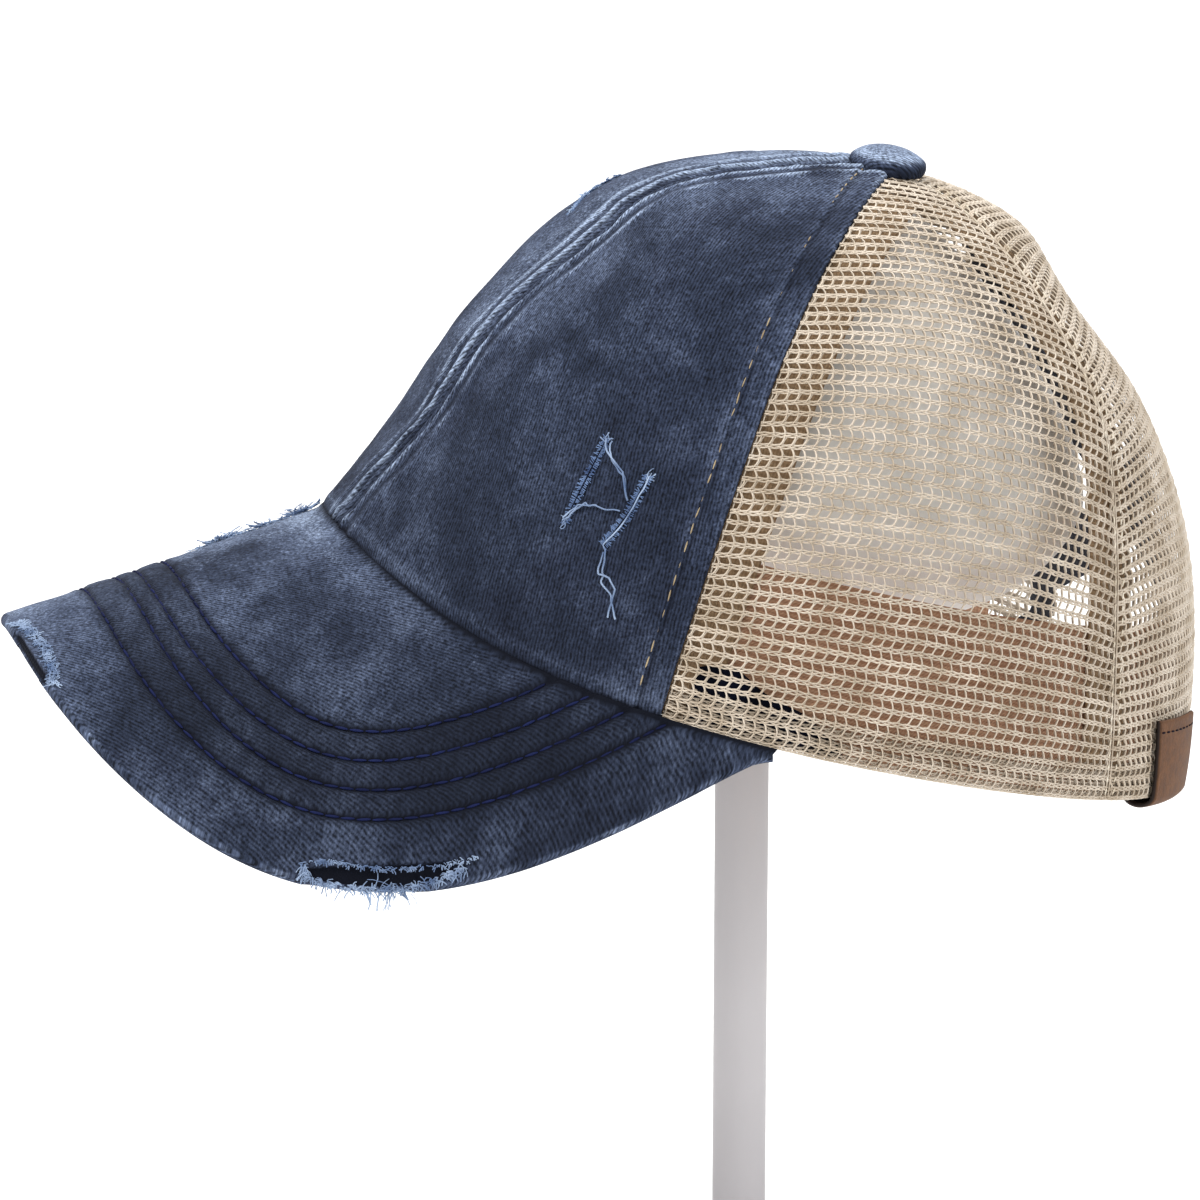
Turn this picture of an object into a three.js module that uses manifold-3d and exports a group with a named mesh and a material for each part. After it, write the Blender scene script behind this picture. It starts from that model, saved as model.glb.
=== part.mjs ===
import * as THREE from "three";
import { mergeVertices } from "three/addons/utils/BufferGeometryUtils.js";
import Module from "manifold-3d";

// A ponytail baseball cap on a plain stand. Lengths are in millimetres, angles in degrees.
// The cap is worked out level, with its peak towards -Y and its wearer's left towards +X.
// It is then tipped back and lifted onto the stand, whose foot rests on Z = 0.

// Crown
const crownHalfWidth = 80.4;
const crownFrontReach = 97.3;
const crownBackReach = 96.2;
const crownHeight = 106.2;
const frontRimRise = 9.0;
const frontRimFocus = 5.3;
const backRimDrop = 2.7;
const crownTopHoleRadius = 4.5;

// Cloth walls, and the clearance that touching pieces keep
const denimWall = 1.8;
const meshWall = 1.2;
const clearance = 0.3;

// Seams, as turns round the crown from the front centre to the back centre
const frontSeamTurn = 58.6;
const backSeamTurn = 119.8;
const backTwist = 10;
const seamTapeWidth = 9.5;
const seamTapeWall = 0.8;
const seamTapeTopMargin = 13;
const seamTapeLead = 1.4;

// Sweatband
const sweatbandHeight = 34;
const sweatbandWall = 1.5;

// Ponytail opening at the back: an arch that flares out over the closing strap at its foot
const openingHalfWidth = 31;
const openingTopDrop = 8.2;
const openingFootFlare = 12.5;
const openingFootHeight = 15;

// Binding, crossing bands and closing strap
const bindingWidth = 6.5;
const bindingWall = 0.9;
const bandWidth = 15;
const bandWall = 1.2;
const bandLowEnd = 24;
const bandHighEnd = 78;
const bandOverlap = 5;
const strapHeight = 8;

// Leather label folded round the rim beside the opening
const labelInset = 14;
const labelLength = 26;
const labelHeight = 15.5;
const labelWall = 1.1;
const labelInnerHeight = 9;
const labelFoldDepth = 1.6;

// Peak
const peakReach = 73.5;
const peakWall = 3.2;
const peakHalfTurn = 82;
const peakUsedShare = 0.93;
const peakSlope = 29.3;
const peakSideSlope = 43;
const peakSpread = 6;
const peakCornerStart = 8.3;
const peakCornerFall = 4.4;

// Top button
const buttonRadius = 8;
const buttonHeight = 4.6;
const buttonEdge = 1.4;
const buttonBevel = 0.6;

// Stand
const capTilt = 16.5;
const capLift = 158;
const capForward = 2.8;
const formSideRoom = 16.9;
const formFrontRoom = 26.5;
const formTopRoom = 1.2;
const formWaistDrop = 56.2;
const formCentreForward = 7.3;
const formBottomDrop = 39;
const formTopRoundness = 1.38;
const formBottomRoundness = 2;
const postRadius = 5.7;
const baseRadius = 60;
const baseHeight = 6;
const baseBevel = 1.5;

// How far the crown stands out from a plain quarter-round dome, as a share of its radius there.
// Rows climb from the rim to the top in even steps, and columns run from the front to the back.
const crownSwell = [
  { front: 0.0, frontQuarter: 0.0, side: 0.0, backQuarter: 0.0, back: 0.0 },
  { front: -0.1, frontQuarter: -0.03, side: -0.03, backQuarter: -0.05, back: -0.01 },
  { front: -0.1, frontQuarter: -0.02, side: 0.0, backQuarter: -0.06, back: -0.03 },
  { front: -0.11, frontQuarter: 0.04, side: 0.04, backQuarter: -0.04, back: -0.09 },
  { front: -0.04, frontQuarter: 0.07, side: 0.0, backQuarter: -0.09, back: -0.17 },
  { front: -0.17, frontQuarter: -0.02, side: -0.06, backQuarter: -0.07, back: 0.09 },
  { front: -0.28, frontQuarter: -0.18, side: -0.08, backQuarter: 0.1, back: 0.35 },
].map((row) => [row.front, row.frontQuarter, row.side, row.backQuarter, row.back]);

const degToRad = THREE.MathUtils.degToRad;
const radToDeg = THREE.MathUtils.radToDeg;

// A smooth curve through evenly spaced values, read at a share from 0 to 1.
// A level end starts and finishes without a slope, as a curve mirrored there does.
function smoothValue(values, share, levelEnds) {
  const last = values.length - 1;
  const place = THREE.MathUtils.clamp(share, 0, 1) * last;
  const index = Math.min(Math.floor(place), last - 1);
  const slopeAt = (knot) => {
    if (knot > 0 && knot < last) return (values[knot + 1] - values[knot - 1]) / 2;
    if (levelEnds) return 0;
    return knot === 0 ? values[1] - values[0] : values[last] - values[last - 1];
  };
  const part = place - index;
  const squared = part * part;
  const cubed = squared * part;
  return (2 * cubed - 3 * squared + 1) * values[index]
    + (cubed - 2 * squared + part) * slopeAt(index)
    + (3 * squared - 2 * cubed) * values[index + 1]
    + (cubed - squared) * slopeAt(index + 1);
}

// The crown's outer surface. A bearing of 0 is the front centre and grows towards +X.
// A level of 0 is the rim and 1 the top.
function rimPoint(bearing) {
  const angle = degToRad(bearing);
  const forward = Math.cos(angle);
  const reach = forward > 0 ? crownFrontReach : crownBackReach;
  const rise = forward > 0 ? frontRimRise * forward ** frontRimFocus : -backRimDrop * forward ** 2;
  return new THREE.Vector3(crownHalfWidth * Math.sin(angle), -reach * forward, rise);
}

function crownPoint(bearing, level) {
  const rim = rimPoint(bearing);
  const wrapped = Math.abs(THREE.MathUtils.euclideanModulo(bearing + 180, 360) - 180) / 180;
  const swell = smoothValue(crownSwell.map((row) => smoothValue(row, wrapped, true)), level, false);
  const lift = degToRad(90 * level);
  const spread = Math.cos(lift) * (1 + swell);
  return new THREE.Vector3(rim.x * spread, rim.y * spread, rim.z + (crownHeight - rim.z) * Math.sin(lift));
}

// The same surface, moved inward through the cloth by a depth
function crownAt(bearing, level, depth) {
  const step = 0.5;
  const levelStep = 0.004;
  const across = crownPoint(bearing + step, level).sub(crownPoint(bearing - step, level));
  const low = Math.max(level - levelStep, 0);
  const up = crownPoint(bearing, low + 2 * levelStep).sub(crownPoint(bearing, low));
  const outward = across.cross(up).normalize();
  return crownPoint(bearing, level).addScaledVector(outward, -depth);
}

// A turn counts round the sewn crown, 180 at the back centre, and past it on the far side.
// The back is pulled round towards the far side, so each turn has its own bearing.
function bearingOf(turn) {
  const nearest = turn > 180 ? turn - 360 : turn;
  return nearest + backTwist * Math.abs(nearest) / 180;
}

function levelAtHeight(height) {
  return radToDeg(Math.asin(Math.min(height / crownHeight, 1))) / 90;
}

function turnsAcross(length, turn, level) {
  const point = crownPoint(bearingOf(turn), level);
  return radToDeg(length / Math.hypot(point.x, point.y));
}

function levelsAcross(length, turn, level) {
  const step = 0.005;
  const bearing = bearingOf(turn);
  return 2 * step * length / crownPoint(bearing, level + step).distanceTo(crownPoint(bearing, level - step));
}

const backTurn = 180;
const crownTopLevel = 1 - radToDeg(Math.asin(crownTopHoleRadius / crownHalfWidth)) / 90;
const openingLevel = levelAtHeight(crownHeight - openingTopDrop);

// Half the opening's turn at a level, grown by a border.
// The sides flare at the foot and close at the top in a round arch.
function archTurn(level, border) {
  const topLevel = openingLevel + levelsAcross(border, backTurn, openingLevel);
  const share = Math.min(level / topLevel, 1);
  const height = crownHeight * Math.sin(degToRad(90 * level));
  const aboveFoot = THREE.MathUtils.smoothstep(height, strapHeight / 2, openingFootHeight);
  const halfWidth = (openingHalfWidth + border) * Math.sqrt(1 - share ** 3);
  return turnsAcross(halfWidth + openingFootFlare * (1 - aboveFoot), backTurn, level);
}

function evenLevels(low, high, count) {
  return Array.from({ length: count + 1 }, (_, index) => low + (high - low) * index / count);
}

// How finely the pieces are divided
const panelColumns = 10;
const crownRows = 12;
const bandRows = 4;
const bindingTopRows = 3;
const sweatbandColumns = 56;

const crownLevels = evenLevels(0, crownTopLevel, crownRows);
const footLevel = levelAtHeight(openingFootHeight);
const footAngle = radToDeg(Math.asin(footLevel / openingLevel));
const archLevels = [
  ...evenLevels(0, footLevel, 5),
  ...evenLevels(footAngle, 90, 12).slice(1).map((angle) => openingLevel * Math.sin(degToRad(angle))),
];
const backLevels = [...archLevels, ...evenLevels(openingLevel, crownTopLevel, 5).slice(1)];

// A closed wall between an outer and an inner grid of points.
// Columns run to the right and rows run up, as seen from outside.
function wallGeometry(outerAt, innerAt, columns, rows) {
  const positions = [];
  const indices = [];
  for (const pointAt of [outerAt, innerAt]) {
    for (let row = 0; row <= rows; row += 1) {
      for (let column = 0; column <= columns; column += 1) {
        positions.push(...pointAt(column, row).toArray());
      }
    }
  }
  const outer = (column, row) => row * (columns + 1) + column;
  const innerStart = (rows + 1) * (columns + 1);
  const quad = (a, b, c, d) => indices.push(a, b, c, a, c, d);
  for (let row = 0; row < rows; row += 1) {
    for (let column = 0; column < columns; column += 1) {
      const corners = [
        outer(column, row),
        outer(column + 1, row),
        outer(column + 1, row + 1),
        outer(column, row + 1),
      ];
      quad(...corners);
      quad(...corners.reverse().map((corner) => innerStart + corner));
    }
  }
  const edge = [];
  for (let column = 0; column < columns; column += 1) edge.push(outer(column, 0));
  for (let row = 0; row < rows; row += 1) edge.push(outer(columns, row));
  for (let column = columns; column > 0; column -= 1) edge.push(outer(column, rows));
  for (let row = rows; row > 0; row -= 1) edge.push(outer(0, row));
  edge.forEach((from, index) => {
    const to = edge[(index + 1) % edge.length];
    quad(to, from, innerStart + from, innerStart + to);
  });
  const geometry = new THREE.BufferGeometry();
  geometry.setAttribute("position", new THREE.Float32BufferAttribute(positions, 3));
  geometry.setIndex(indices);
  geometry.computeVertexNormals();
  return geometry;
}

// A cloth piece that follows the crown between two depths.
// place(across, row) gives its turn and level, with across from 0 to 1.
function crownPiece(place, columns, rows, outerDepth, innerDepth) {
  const pointAt = (depth) => (column, row) => {
    const { turn, level } = place(column / columns, row);
    return crownAt(bearingOf(turn), level, depth);
  };
  return wallGeometry(pointAt(outerDepth), pointAt(innerDepth), columns, rows);
}

// Where a crown panel runs from one seam to the next, half a clearance short of each.
// A side of 1 is the near side, and -1 the far one.
function panelPlace(side, fromTurn, toTurnAt, levels) {
  return (across, row) => {
    const level = levels[row];
    const toTurn = toTurnAt(level);
    const start = fromTurn + turnsAcross(clearance / 2, side * fromTurn, level);
    const end = toTurn - turnsAcross(clearance / 2, side * toTurn, level);
    return { turn: start + (end - start) * across, level };
  };
}

// The piece on the far side of the crown, from the turns of the near one
function mirrored(place) {
  return (across, row) => {
    const near = place(1 - across, row);
    return { turn: -near.turn, level: near.level };
  };
}

const tapeDepth = denimWall + clearance;
const bandingDepth = tapeDepth + seamTapeWall + clearance;
const openingEdge = (level) => backTurn - archTurn(level, 0);

// Tape sewn inside a seam, from the seam towards the back of the cap
function seamTapePlace(seamTurn) {
  const topLevel = 1 - radToDeg(Math.asin(seamTapeTopMargin / crownHalfWidth)) / 90;
  const levels = evenLevels(levelAtHeight(clearance), topLevel, crownRows);
  return (across, row) => {
    const level = levels[row];
    return { turn: seamTurn + turnsAcross(seamTapeWidth * across - seamTapeLead, seamTurn, level), level };
  };
}

// Sweatband round the inside of the rim, open at the ponytail opening
function sweatbandGeometry() {
  const levels = evenLevels(0, levelAtHeight(sweatbandHeight), 3);
  const endTurn = backTurn - archTurn(0, bindingWidth + clearance);
  const place = (across, row) => ({ turn: endTurn * (2 * across - 1), level: levels[row] });
  return crownPiece(place, sweatbandColumns, 3, bandingDepth, bandingDepth + sweatbandWall);
}

// Binding along the opening's edge, half of the arch
function bindingPlace() {
  const outerTop = openingLevel + levelsAcross(bindingWidth, backTurn, openingLevel);
  const levels = [...archLevels, ...evenLevels(openingLevel, outerTop, bindingTopRows).slice(1)];
  return (across, row) => {
    const level = levels[row];
    const from = backTurn - archTurn(level, bindingWidth);
    const to = Math.min(openingEdge(level), backTurn - turnsAcross(clearance / 2, backTurn, level));
    const start = Math.min(from, to - turnsAcross(clearance, backTurn, level));
    return { turn: start + (to - start) * across, level };
  };
}

// A crossing band, from low on one side of the opening to high on the other
function crossingBandPlace(risesToFarSide) {
  const lowTurn = archTurn(levelAtHeight(bandLowEnd), bandOverlap);
  const highTurn = archTurn(levelAtHeight(bandHighEnd), bandOverlap);
  const [nearTurn, farTurn] = risesToFarSide ? [lowTurn, highTurn] : [highTurn, lowTurn];
  return (across, row) => {
    const climb = risesToFarSide ? across : 1 - across;
    const centre = bandLowEnd + (bandHighEnd - bandLowEnd) * climb;
    const low = levelAtHeight(centre - bandWidth / 2);
    const high = levelAtHeight(centre + bandWidth / 2);
    const turn = backTurn - nearTurn + (nearTurn + farTurn) * across;
    return { turn, level: low + (high - low) * row / bandRows };
  };
}

// Strap that closes the opening along the rim
function closingStrapPlace() {
  const halfTurn = archTurn(0, bandOverlap);
  return (across, row) => ({
    turn: backTurn + halfTurn * (2 * across - 1),
    level: levelAtHeight(clearance + (strapHeight - clearance) * row),
  });
}

// Leather label: a strip folded round the rim, up the outside and a little way up the inside
function labelGeometry() {
  const endTurn = openingEdge(0) - turnsAcross(labelInset, backTurn, 0);
  const startTurn = endTurn - turnsAcross(labelLength, backTurn, 0);
  const insideDepth = bandingDepth + sweatbandWall + clearance;
  const foldSteps = 6;
  // One face of the strip as depth and height pairs, pushed away from what it wraps
  const facePath = (push) => {
    const middle = (insideDepth - clearance) / 2;
    const halfGap = (insideDepth + clearance) / 2 + push;
    const fold = Array.from({ length: foldSteps + 1 }, (_, index) => {
      const angle = Math.PI * index / foldSteps;
      const height = -(labelFoldDepth + push) * Math.sin(angle);
      return { depth: middle + halfGap * Math.cos(angle), height };
    });
    const outside = -clearance - push;
    return [
      { depth: insideDepth + push, height: labelInnerHeight },
      ...fold,
      { depth: outside, height: labelHeight / 2 },
      { depth: outside, height: labelHeight },
    ];
  };
  const columns = 8;
  const faceAt = (path) => (column, row) => {
    const { depth, height } = path[row];
    const bearing = bearingOf(startTurn + (endTurn - startTurn) * column / columns);
    const point = crownAt(bearing, levelAtHeight(Math.max(height, 0)), depth);
    point.z += Math.min(height, 0);
    return point;
  };
  const outer = facePath(labelWall);
  return wallGeometry(faceAt(outer), faceAt(facePath(0)), columns, outer.length - 1);
}

// The peak is ruled from the crown's front rim: each line runs forward, and steeper towards the sides
function peakPoint(side, forward) {
  const bearing = side * peakHalfTurn * peakUsedShare;
  const share = side * peakUsedShare;
  const slope = degToRad(peakSlope + peakSideSlope * share ** 2);
  const spread = degToRad(peakSpread * share);
  const length = peakReach * (1 - Math.abs(share) ** peakCornerStart) ** peakCornerFall;
  const direction = new THREE.Vector3(
    Math.sin(spread),
    -Math.cos(spread) * Math.cos(slope),
    -Math.cos(spread) * Math.sin(slope),
  );
  return rimPoint(bearing).addScaledVector(direction, length * forward);
}

function peakGeometry() {
  const columns = 48;
  const rows = 8;
  const faceAt = (depth) => (column, row) => {
    const side = 2 * column / columns - 1;
    const forward = 1 - row / rows;
    const step = 0.01;
    const across = peakPoint(side + step, forward).sub(peakPoint(side - step, forward));
    const back = peakPoint(side, 0).sub(peakPoint(side, 1));
    const upward = across.cross(back).normalize();
    return peakPoint(side, forward).addScaledVector(upward, -depth);
  };
  return wallGeometry(faceAt(clearance), faceAt(clearance + peakWall), columns, rows);
}

function lathe(profile, segments) {
  const points = profile.map(([radius, height]) => new THREE.Vector2(radius, height));
  return new THREE.LatheGeometry(points, segments).rotateX(Math.PI / 2);
}

function buttonGeometry() {
  const steps = 6;
  const bottom = crownHeight + clearance;
  const edge = buttonEdge;
  const dome = Array.from({ length: steps + 1 }, (_, index) => {
    const angle = Math.PI / 2 * index / steps;
    return [buttonRadius * Math.cos(angle), bottom + edge + (buttonHeight - edge) * Math.sin(angle)];
  });
  dome[steps][0] = 0;
  return lathe([[0, bottom], [buttonRadius - buttonBevel, bottom], ...dome], 24);
}

const formHalfWidth = crownHalfWidth - formSideRoom;
const formHalfLength = crownFrontReach - formCentreForward - formFrontRoom;
const formWaistHeight = crownHeight - formWaistDrop;
const formTopRise = formWaistDrop - denimWall - formTopRoom;

// The stand's form: an egg with a blunt foot and a narrower top.
// It is as wide and as long as the crown leaves room for.
function formGeometry(extra) {
  const steps = 8;
  const profile = [];
  for (let index = -steps; index <= steps; index += 1) {
    const share = Math.abs(Math.sin(Math.PI / 2 * index / steps));
    const power = index > 0 ? formTopRoundness : formBottomRoundness;
    const reach = index > 0 ? formTopRise + extra : -formBottomDrop - extra;
    const narrowing = Math.abs(index) === steps ? 0 : (1 - share ** power) ** (1 / power);
    profile.push([(formHalfWidth + extra) * narrowing, formWaistHeight + reach * share]);
  }
  const stretch = (formHalfLength + extra) / (formHalfWidth + extra);
  return lathe(profile, 32).scale(1, stretch, 1).translate(0, -formCentreForward, 0);
}

// Tips the cap back and lifts it to where the stand carries it
function capPlacement() {
  const group = new THREE.Group();
  group.rotation.x = -degToRad(capTilt);
  group.position.set(0, capForward, capLift);
  group.updateMatrix();
  return group;
}

const wasm = await Module();
wasm.setup();

function toManifold(geometry) {
  const bare = geometry.clone();
  bare.deleteAttribute("normal");
  bare.deleteAttribute("uv");
  const merged = mergeVertices(bare, 1e-4);
  const vertProperties = Float32Array.from(merged.attributes.position.array);
  const triVerts = Uint32Array.from(merged.index.array);
  return new wasm.Manifold(new wasm.Mesh({ numProp: 3, vertProperties, triVerts }));
}

function fromManifold(solid) {
  const mesh = solid.getMesh();
  const geometry = new THREE.BufferGeometry();
  geometry.setAttribute("position", new THREE.BufferAttribute(new Float32Array(mesh.vertProperties), 3));
  geometry.setIndex(Array.from(mesh.triVerts));
  geometry.computeVertexNormals();
  return geometry;
}

// The post runs up into the form's underside and stops a clearance short of it all round
function postGeometry(placement) {
  const bottom = baseHeight + clearance;
  const top = capLift + formWaistHeight;
  const bar = lathe([[0, bottom], [postRadius, bottom], [postRadius, top], [0, top]], 24);
  const seat = formGeometry(clearance).applyMatrix4(placement.matrix);
  return fromManifold(toManifold(bar).subtract(toManifold(seat)));
}

function baseGeometry() {
  return lathe([
    [0, 0],
    [baseRadius, 0],
    [baseRadius, baseHeight - baseBevel],
    [baseRadius - baseBevel, baseHeight],
    [0, baseHeight],
  ], 48);
}

const denim = new THREE.MeshStandardMaterial({ color: 0x3c4763, roughness: 0.9, metalness: 0 });
const mesh = new THREE.MeshStandardMaterial({ color: 0xcdb99b, roughness: 0.8, metalness: 0 });
const bandCloth = new THREE.MeshStandardMaterial({ color: 0x8c694b, roughness: 0.9, metalness: 0 });
const tapeCloth = new THREE.MeshStandardMaterial({ color: 0xa58c69, roughness: 0.9, metalness: 0 });
const darkCloth = new THREE.MeshStandardMaterial({ color: 0x1f2333, roughness: 0.9, metalness: 0 });
const leather = new THREE.MeshStandardMaterial({ color: 0x87644e, roughness: 0.6, metalness: 0 });
const standPaint = new THREE.MeshStandardMaterial({ color: 0xc7c3c6, roughness: 0.6, metalness: 0 });

function namedMesh(name, geometry, material) {
  const piece = new THREE.Mesh(geometry, material);
  piece.name = name;
  return piece;
}

function nearAndFar(name, place, columns, rows, depths, material) {
  return [
    namedMesh(`${name}_left`, crownPiece(place, columns, rows, ...depths), material),
    namedMesh(`${name}_right`, crownPiece(mirrored(place), columns, rows, ...depths), material),
  ];
}

function panels(name, fromTurn, toTurnAt, levels, wall, material) {
  const rows = levels.length - 1;
  const near = crownPiece(panelPlace(1, fromTurn, toTurnAt, levels), panelColumns, rows, 0, wall);
  const far = crownPiece(mirrored(panelPlace(-1, fromTurn, toTurnAt, levels)), panelColumns, rows, 0, wall);
  return [namedMesh(`${name}_left`, near, material), namedMesh(`${name}_right`, far, material)];
}

function crossingBand(name, risesToFarSide, depth) {
  const place = crossingBandPlace(risesToFarSide);
  return namedMesh(name, crownPiece(place, 18, bandRows, depth, depth + bandWall), darkCloth);
}

const tapeDepths = [tapeDepth, tapeDepth + seamTapeWall];
const cap = capPlacement();
cap.add(
  ...panels("front_panel", 0, () => frontSeamTurn, crownLevels, denimWall, denim),
  ...panels("mesh_side", frontSeamTurn, () => backSeamTurn, crownLevels, meshWall, mesh),
  ...panels("mesh_back", backSeamTurn, openingEdge, backLevels, meshWall, mesh),
  namedMesh("peak", peakGeometry(), denim),
  namedMesh("top_button", buttonGeometry(), denim),
  namedMesh("sweatband", sweatbandGeometry(), bandCloth),
  ...nearAndFar("front_seam_tape", seamTapePlace(frontSeamTurn), 2, crownRows, tapeDepths, tapeCloth),
  ...nearAndFar("back_seam_tape", seamTapePlace(backSeamTurn), 2, crownRows, tapeDepths, tapeCloth),
);

const bindingDepth = meshWall + clearance;
const lowBandDepth = bindingDepth + bindingWall + clearance;
const highBandDepth = lowBandDepth + bandWall + clearance;
cap.add(
  ...nearAndFar(
    "opening_binding",
    bindingPlace(),
    2,
    archLevels.length - 1 + bindingTopRows,
    [bindingDepth, bindingDepth + bindingWall],
    darkCloth,
  ),
  crossingBand("crossing_band_rising", true, lowBandDepth),
  crossingBand("crossing_band_falling", false, highBandDepth),
  namedMesh(
    "closing_strap",
    crownPiece(closingStrapPlace(), 12, 1, lowBandDepth, lowBandDepth + bandWall),
    darkCloth,
  ),
  namedMesh("leather_label", labelGeometry(), leather),
  namedMesh("stand_form", formGeometry(0), standPaint),
);

const model = new THREE.Group();
model.add(
  cap,
  namedMesh("stand_post", postGeometry(cap), standPaint),
  namedMesh("stand_base", baseGeometry(), standPaint),
);

export default model;
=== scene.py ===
import math
import bpy
import numpy as np
from mathutils import Matrix, Vector


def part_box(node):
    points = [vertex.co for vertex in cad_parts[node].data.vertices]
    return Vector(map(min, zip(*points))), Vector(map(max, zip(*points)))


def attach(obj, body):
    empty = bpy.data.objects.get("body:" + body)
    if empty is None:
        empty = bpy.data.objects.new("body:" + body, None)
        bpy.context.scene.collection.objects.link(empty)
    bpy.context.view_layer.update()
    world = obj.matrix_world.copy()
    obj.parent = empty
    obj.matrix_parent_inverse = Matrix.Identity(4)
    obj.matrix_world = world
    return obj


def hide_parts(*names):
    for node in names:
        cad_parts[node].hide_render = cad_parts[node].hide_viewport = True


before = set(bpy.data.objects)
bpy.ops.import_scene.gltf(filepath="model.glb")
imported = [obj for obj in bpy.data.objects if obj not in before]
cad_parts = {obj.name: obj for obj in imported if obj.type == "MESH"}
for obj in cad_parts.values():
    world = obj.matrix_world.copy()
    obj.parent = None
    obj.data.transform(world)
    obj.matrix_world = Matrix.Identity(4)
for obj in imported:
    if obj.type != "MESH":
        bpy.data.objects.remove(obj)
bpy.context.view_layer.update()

print("frame loaded:", len(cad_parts), "nodes")

# Lengths are in millimetres and angles in degrees until placed() turns them into the frame's metres.
# Levels run from 0 at the crown's rim to 1 at its top, turns from 0 at the front centre to 180 at the back.
crown = {
    "halfWidth": 80.4, "frontReach": 97.3, "backReach": 96.2, "height": 106.2,
    "frontRimRise": 9.0, "frontRimFocus": 5.3, "backRimDrop": 2.7, "topHoleRadius": 4.5,
    "frontSeam": 58.6, "backSeam": 119.8, "backTwist": 10, "clearance": 0.3,
    "denimWall": 1.8, "netWall": 1.2, "tapeWall": 0.8, "sweatbandWall": 1.5,
    "openingHalfWidth": 31, "openingHeight": 98, "footFlare": 12.5, "footHeight": 15, "strapHeight": 8,
    "tilt": 16.5, "lift": 158, "forward": 2.8,
}
crownSwell = np.array([  # rows from rim to top, columns from front to back
    [0, 0, 0, 0, 0],
    [-0.1, -0.03, -0.03, -0.05, -0.01],
    [-0.1, -0.02, 0, -0.06, -0.03],
    [-0.11, 0.04, 0.04, -0.04, -0.09],
    [-0.04, 0.07, 0, -0.09, -0.17],
    [-0.17, -0.02, -0.06, -0.07, 0.09],
    [-0.28, -0.18, -0.08, 0.1, 0.35],
])

def together(*values):
    return np.broadcast_arrays(*(np.asarray(value, float) for value in values))


def unit(vectors):
    return vectors / np.linalg.norm(vectors, axis=-1, keepdims=True)


def runAlong(points, axis=0):  # the length along a line of points, or along one axis of a grid of them
    steps = np.linalg.norm(np.diff(points, axis=axis), axis=-1)
    return np.concatenate([np.zeros_like(np.take(steps, [0], axis)), np.cumsum(steps, axis)], axis)
def smoothTable(values, share, levelEnds):  # the solids' smooth curve through evenly spaced values
    last = values.shape[-1] - 1
    place = np.clip(share, 0, 1) * last
    index = np.minimum(np.floor(place).astype(int), last - 1)
    value = lambda k: np.take_along_axis(values, np.clip(k, 0, last)[..., None], -1)[..., 0]

    def slope(k):
        middle = (value(k + 1) - value(k - 1)) / 2
        if levelEnds:
            return np.where((k > 0) & (k < last), middle, 0)
        middle = np.where(k <= 0, values[..., 1] - values[..., 0], middle)
        return np.where(k >= last, values[..., last] - values[..., last - 1], middle)

    part = place - index
    return ((2 * part**3 - 3 * part**2 + 1) * value(index) + (part**3 - 2 * part**2 + part) * slope(index)
            + (3 * part**2 - 2 * part**3) * value(index + 1) + (part**3 - part**2) * slope(index + 1))


def rimPoint(bearing):
    angle = np.radians(bearing)
    ahead = np.cos(angle)
    reach = np.where(ahead > 0, crown["frontReach"], crown["backReach"])
    rise = np.where(ahead > 0, crown["frontRimRise"] * np.maximum(ahead, 0) ** crown["frontRimFocus"],
                    -crown["backRimDrop"] * ahead**2)
    return np.stack([crown["halfWidth"] * np.sin(angle), -reach * ahead, rise], -1)


def crownPoint(bearing, level):
    bearing, level = together(bearing, level)
    rim = rimPoint(bearing)
    wrapped = np.abs((bearing + 180) % 360 - 180) / 180
    columns = [smoothTable(np.broadcast_to(row, bearing.shape + (5,)), wrapped, True) for row in crownSwell]
    swell = smoothTable(np.stack(columns, -1), level, False)
    lift = np.radians(90 * level)
    spread = np.cos(lift) * (1 + swell)
    return np.stack([rim[..., 0] * spread, rim[..., 1] * spread,
                     rim[..., 2] + (crown["height"] - rim[..., 2]) * np.sin(lift)], -1)


def bearingOf(turn):
    nearest = np.where(turn > 180, turn - 360, turn)
    return nearest + crown["backTwist"] * np.abs(nearest) / 180


probe = {"turn": 0.5, "level": 0.004, "share": 0.008}  # half steps for slopes measured on a surface


def crownNormal(turn, level):
    bearing = bearingOf(turn)
    low = np.maximum(level - probe["level"], 0)
    across = crownPoint(bearing + probe["turn"], level) - crownPoint(bearing - probe["turn"], level)
    up = crownPoint(bearing, low + 2 * probe["level"]) - crownPoint(bearing, low)
    return unit(np.cross(across, up))


def onCrown(turn, level, rise):  # a point of the crown, raised out of the cloth or, below zero, sunk into it
    turn, level, rise = together(turn, level, rise)
    return crownPoint(bearingOf(turn), level) + crownNormal(turn, level) * rise[..., None]


def levelAtHeight(height):
    return np.degrees(np.arcsin(np.minimum(height / crown["height"], 1))) / 90


def levelAtRadius(radius):
    return 1 - math.degrees(math.asin(radius / crown["halfWidth"])) / 90


def turnsAcross(length, turn, level):
    point = crownPoint(bearingOf(np.asarray(turn, float)), level)
    return np.degrees(length / np.hypot(point[..., 0], point[..., 1]))


def levelsAcross(length, turn, level):
    bearing, nudge = bearingOf(np.asarray(turn, float)), 0.005
    step = crownPoint(bearing, level + nudge) - crownPoint(bearing, level - nudge)
    return 2 * nudge * length / np.linalg.norm(step)


openingLevel = float(levelAtHeight(crown["openingHeight"]))


def archTurn(level, border):  # half the opening's turn, grown by a border
    top = openingLevel + levelsAcross(border, 180, openingLevel)
    height = crown["height"] * np.sin(np.radians(90 * np.asarray(level, float)))
    flare = crown["footFlare"] * (1 - fade(height, crown["strapHeight"] / 2, crown["footHeight"]))
    width = (crown["openingHalfWidth"] + border) * np.sqrt(np.maximum(1 - np.minimum(level / top, 1) ** 3, 0))
    return turnsAcross(width + flare, 180, level)


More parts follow.
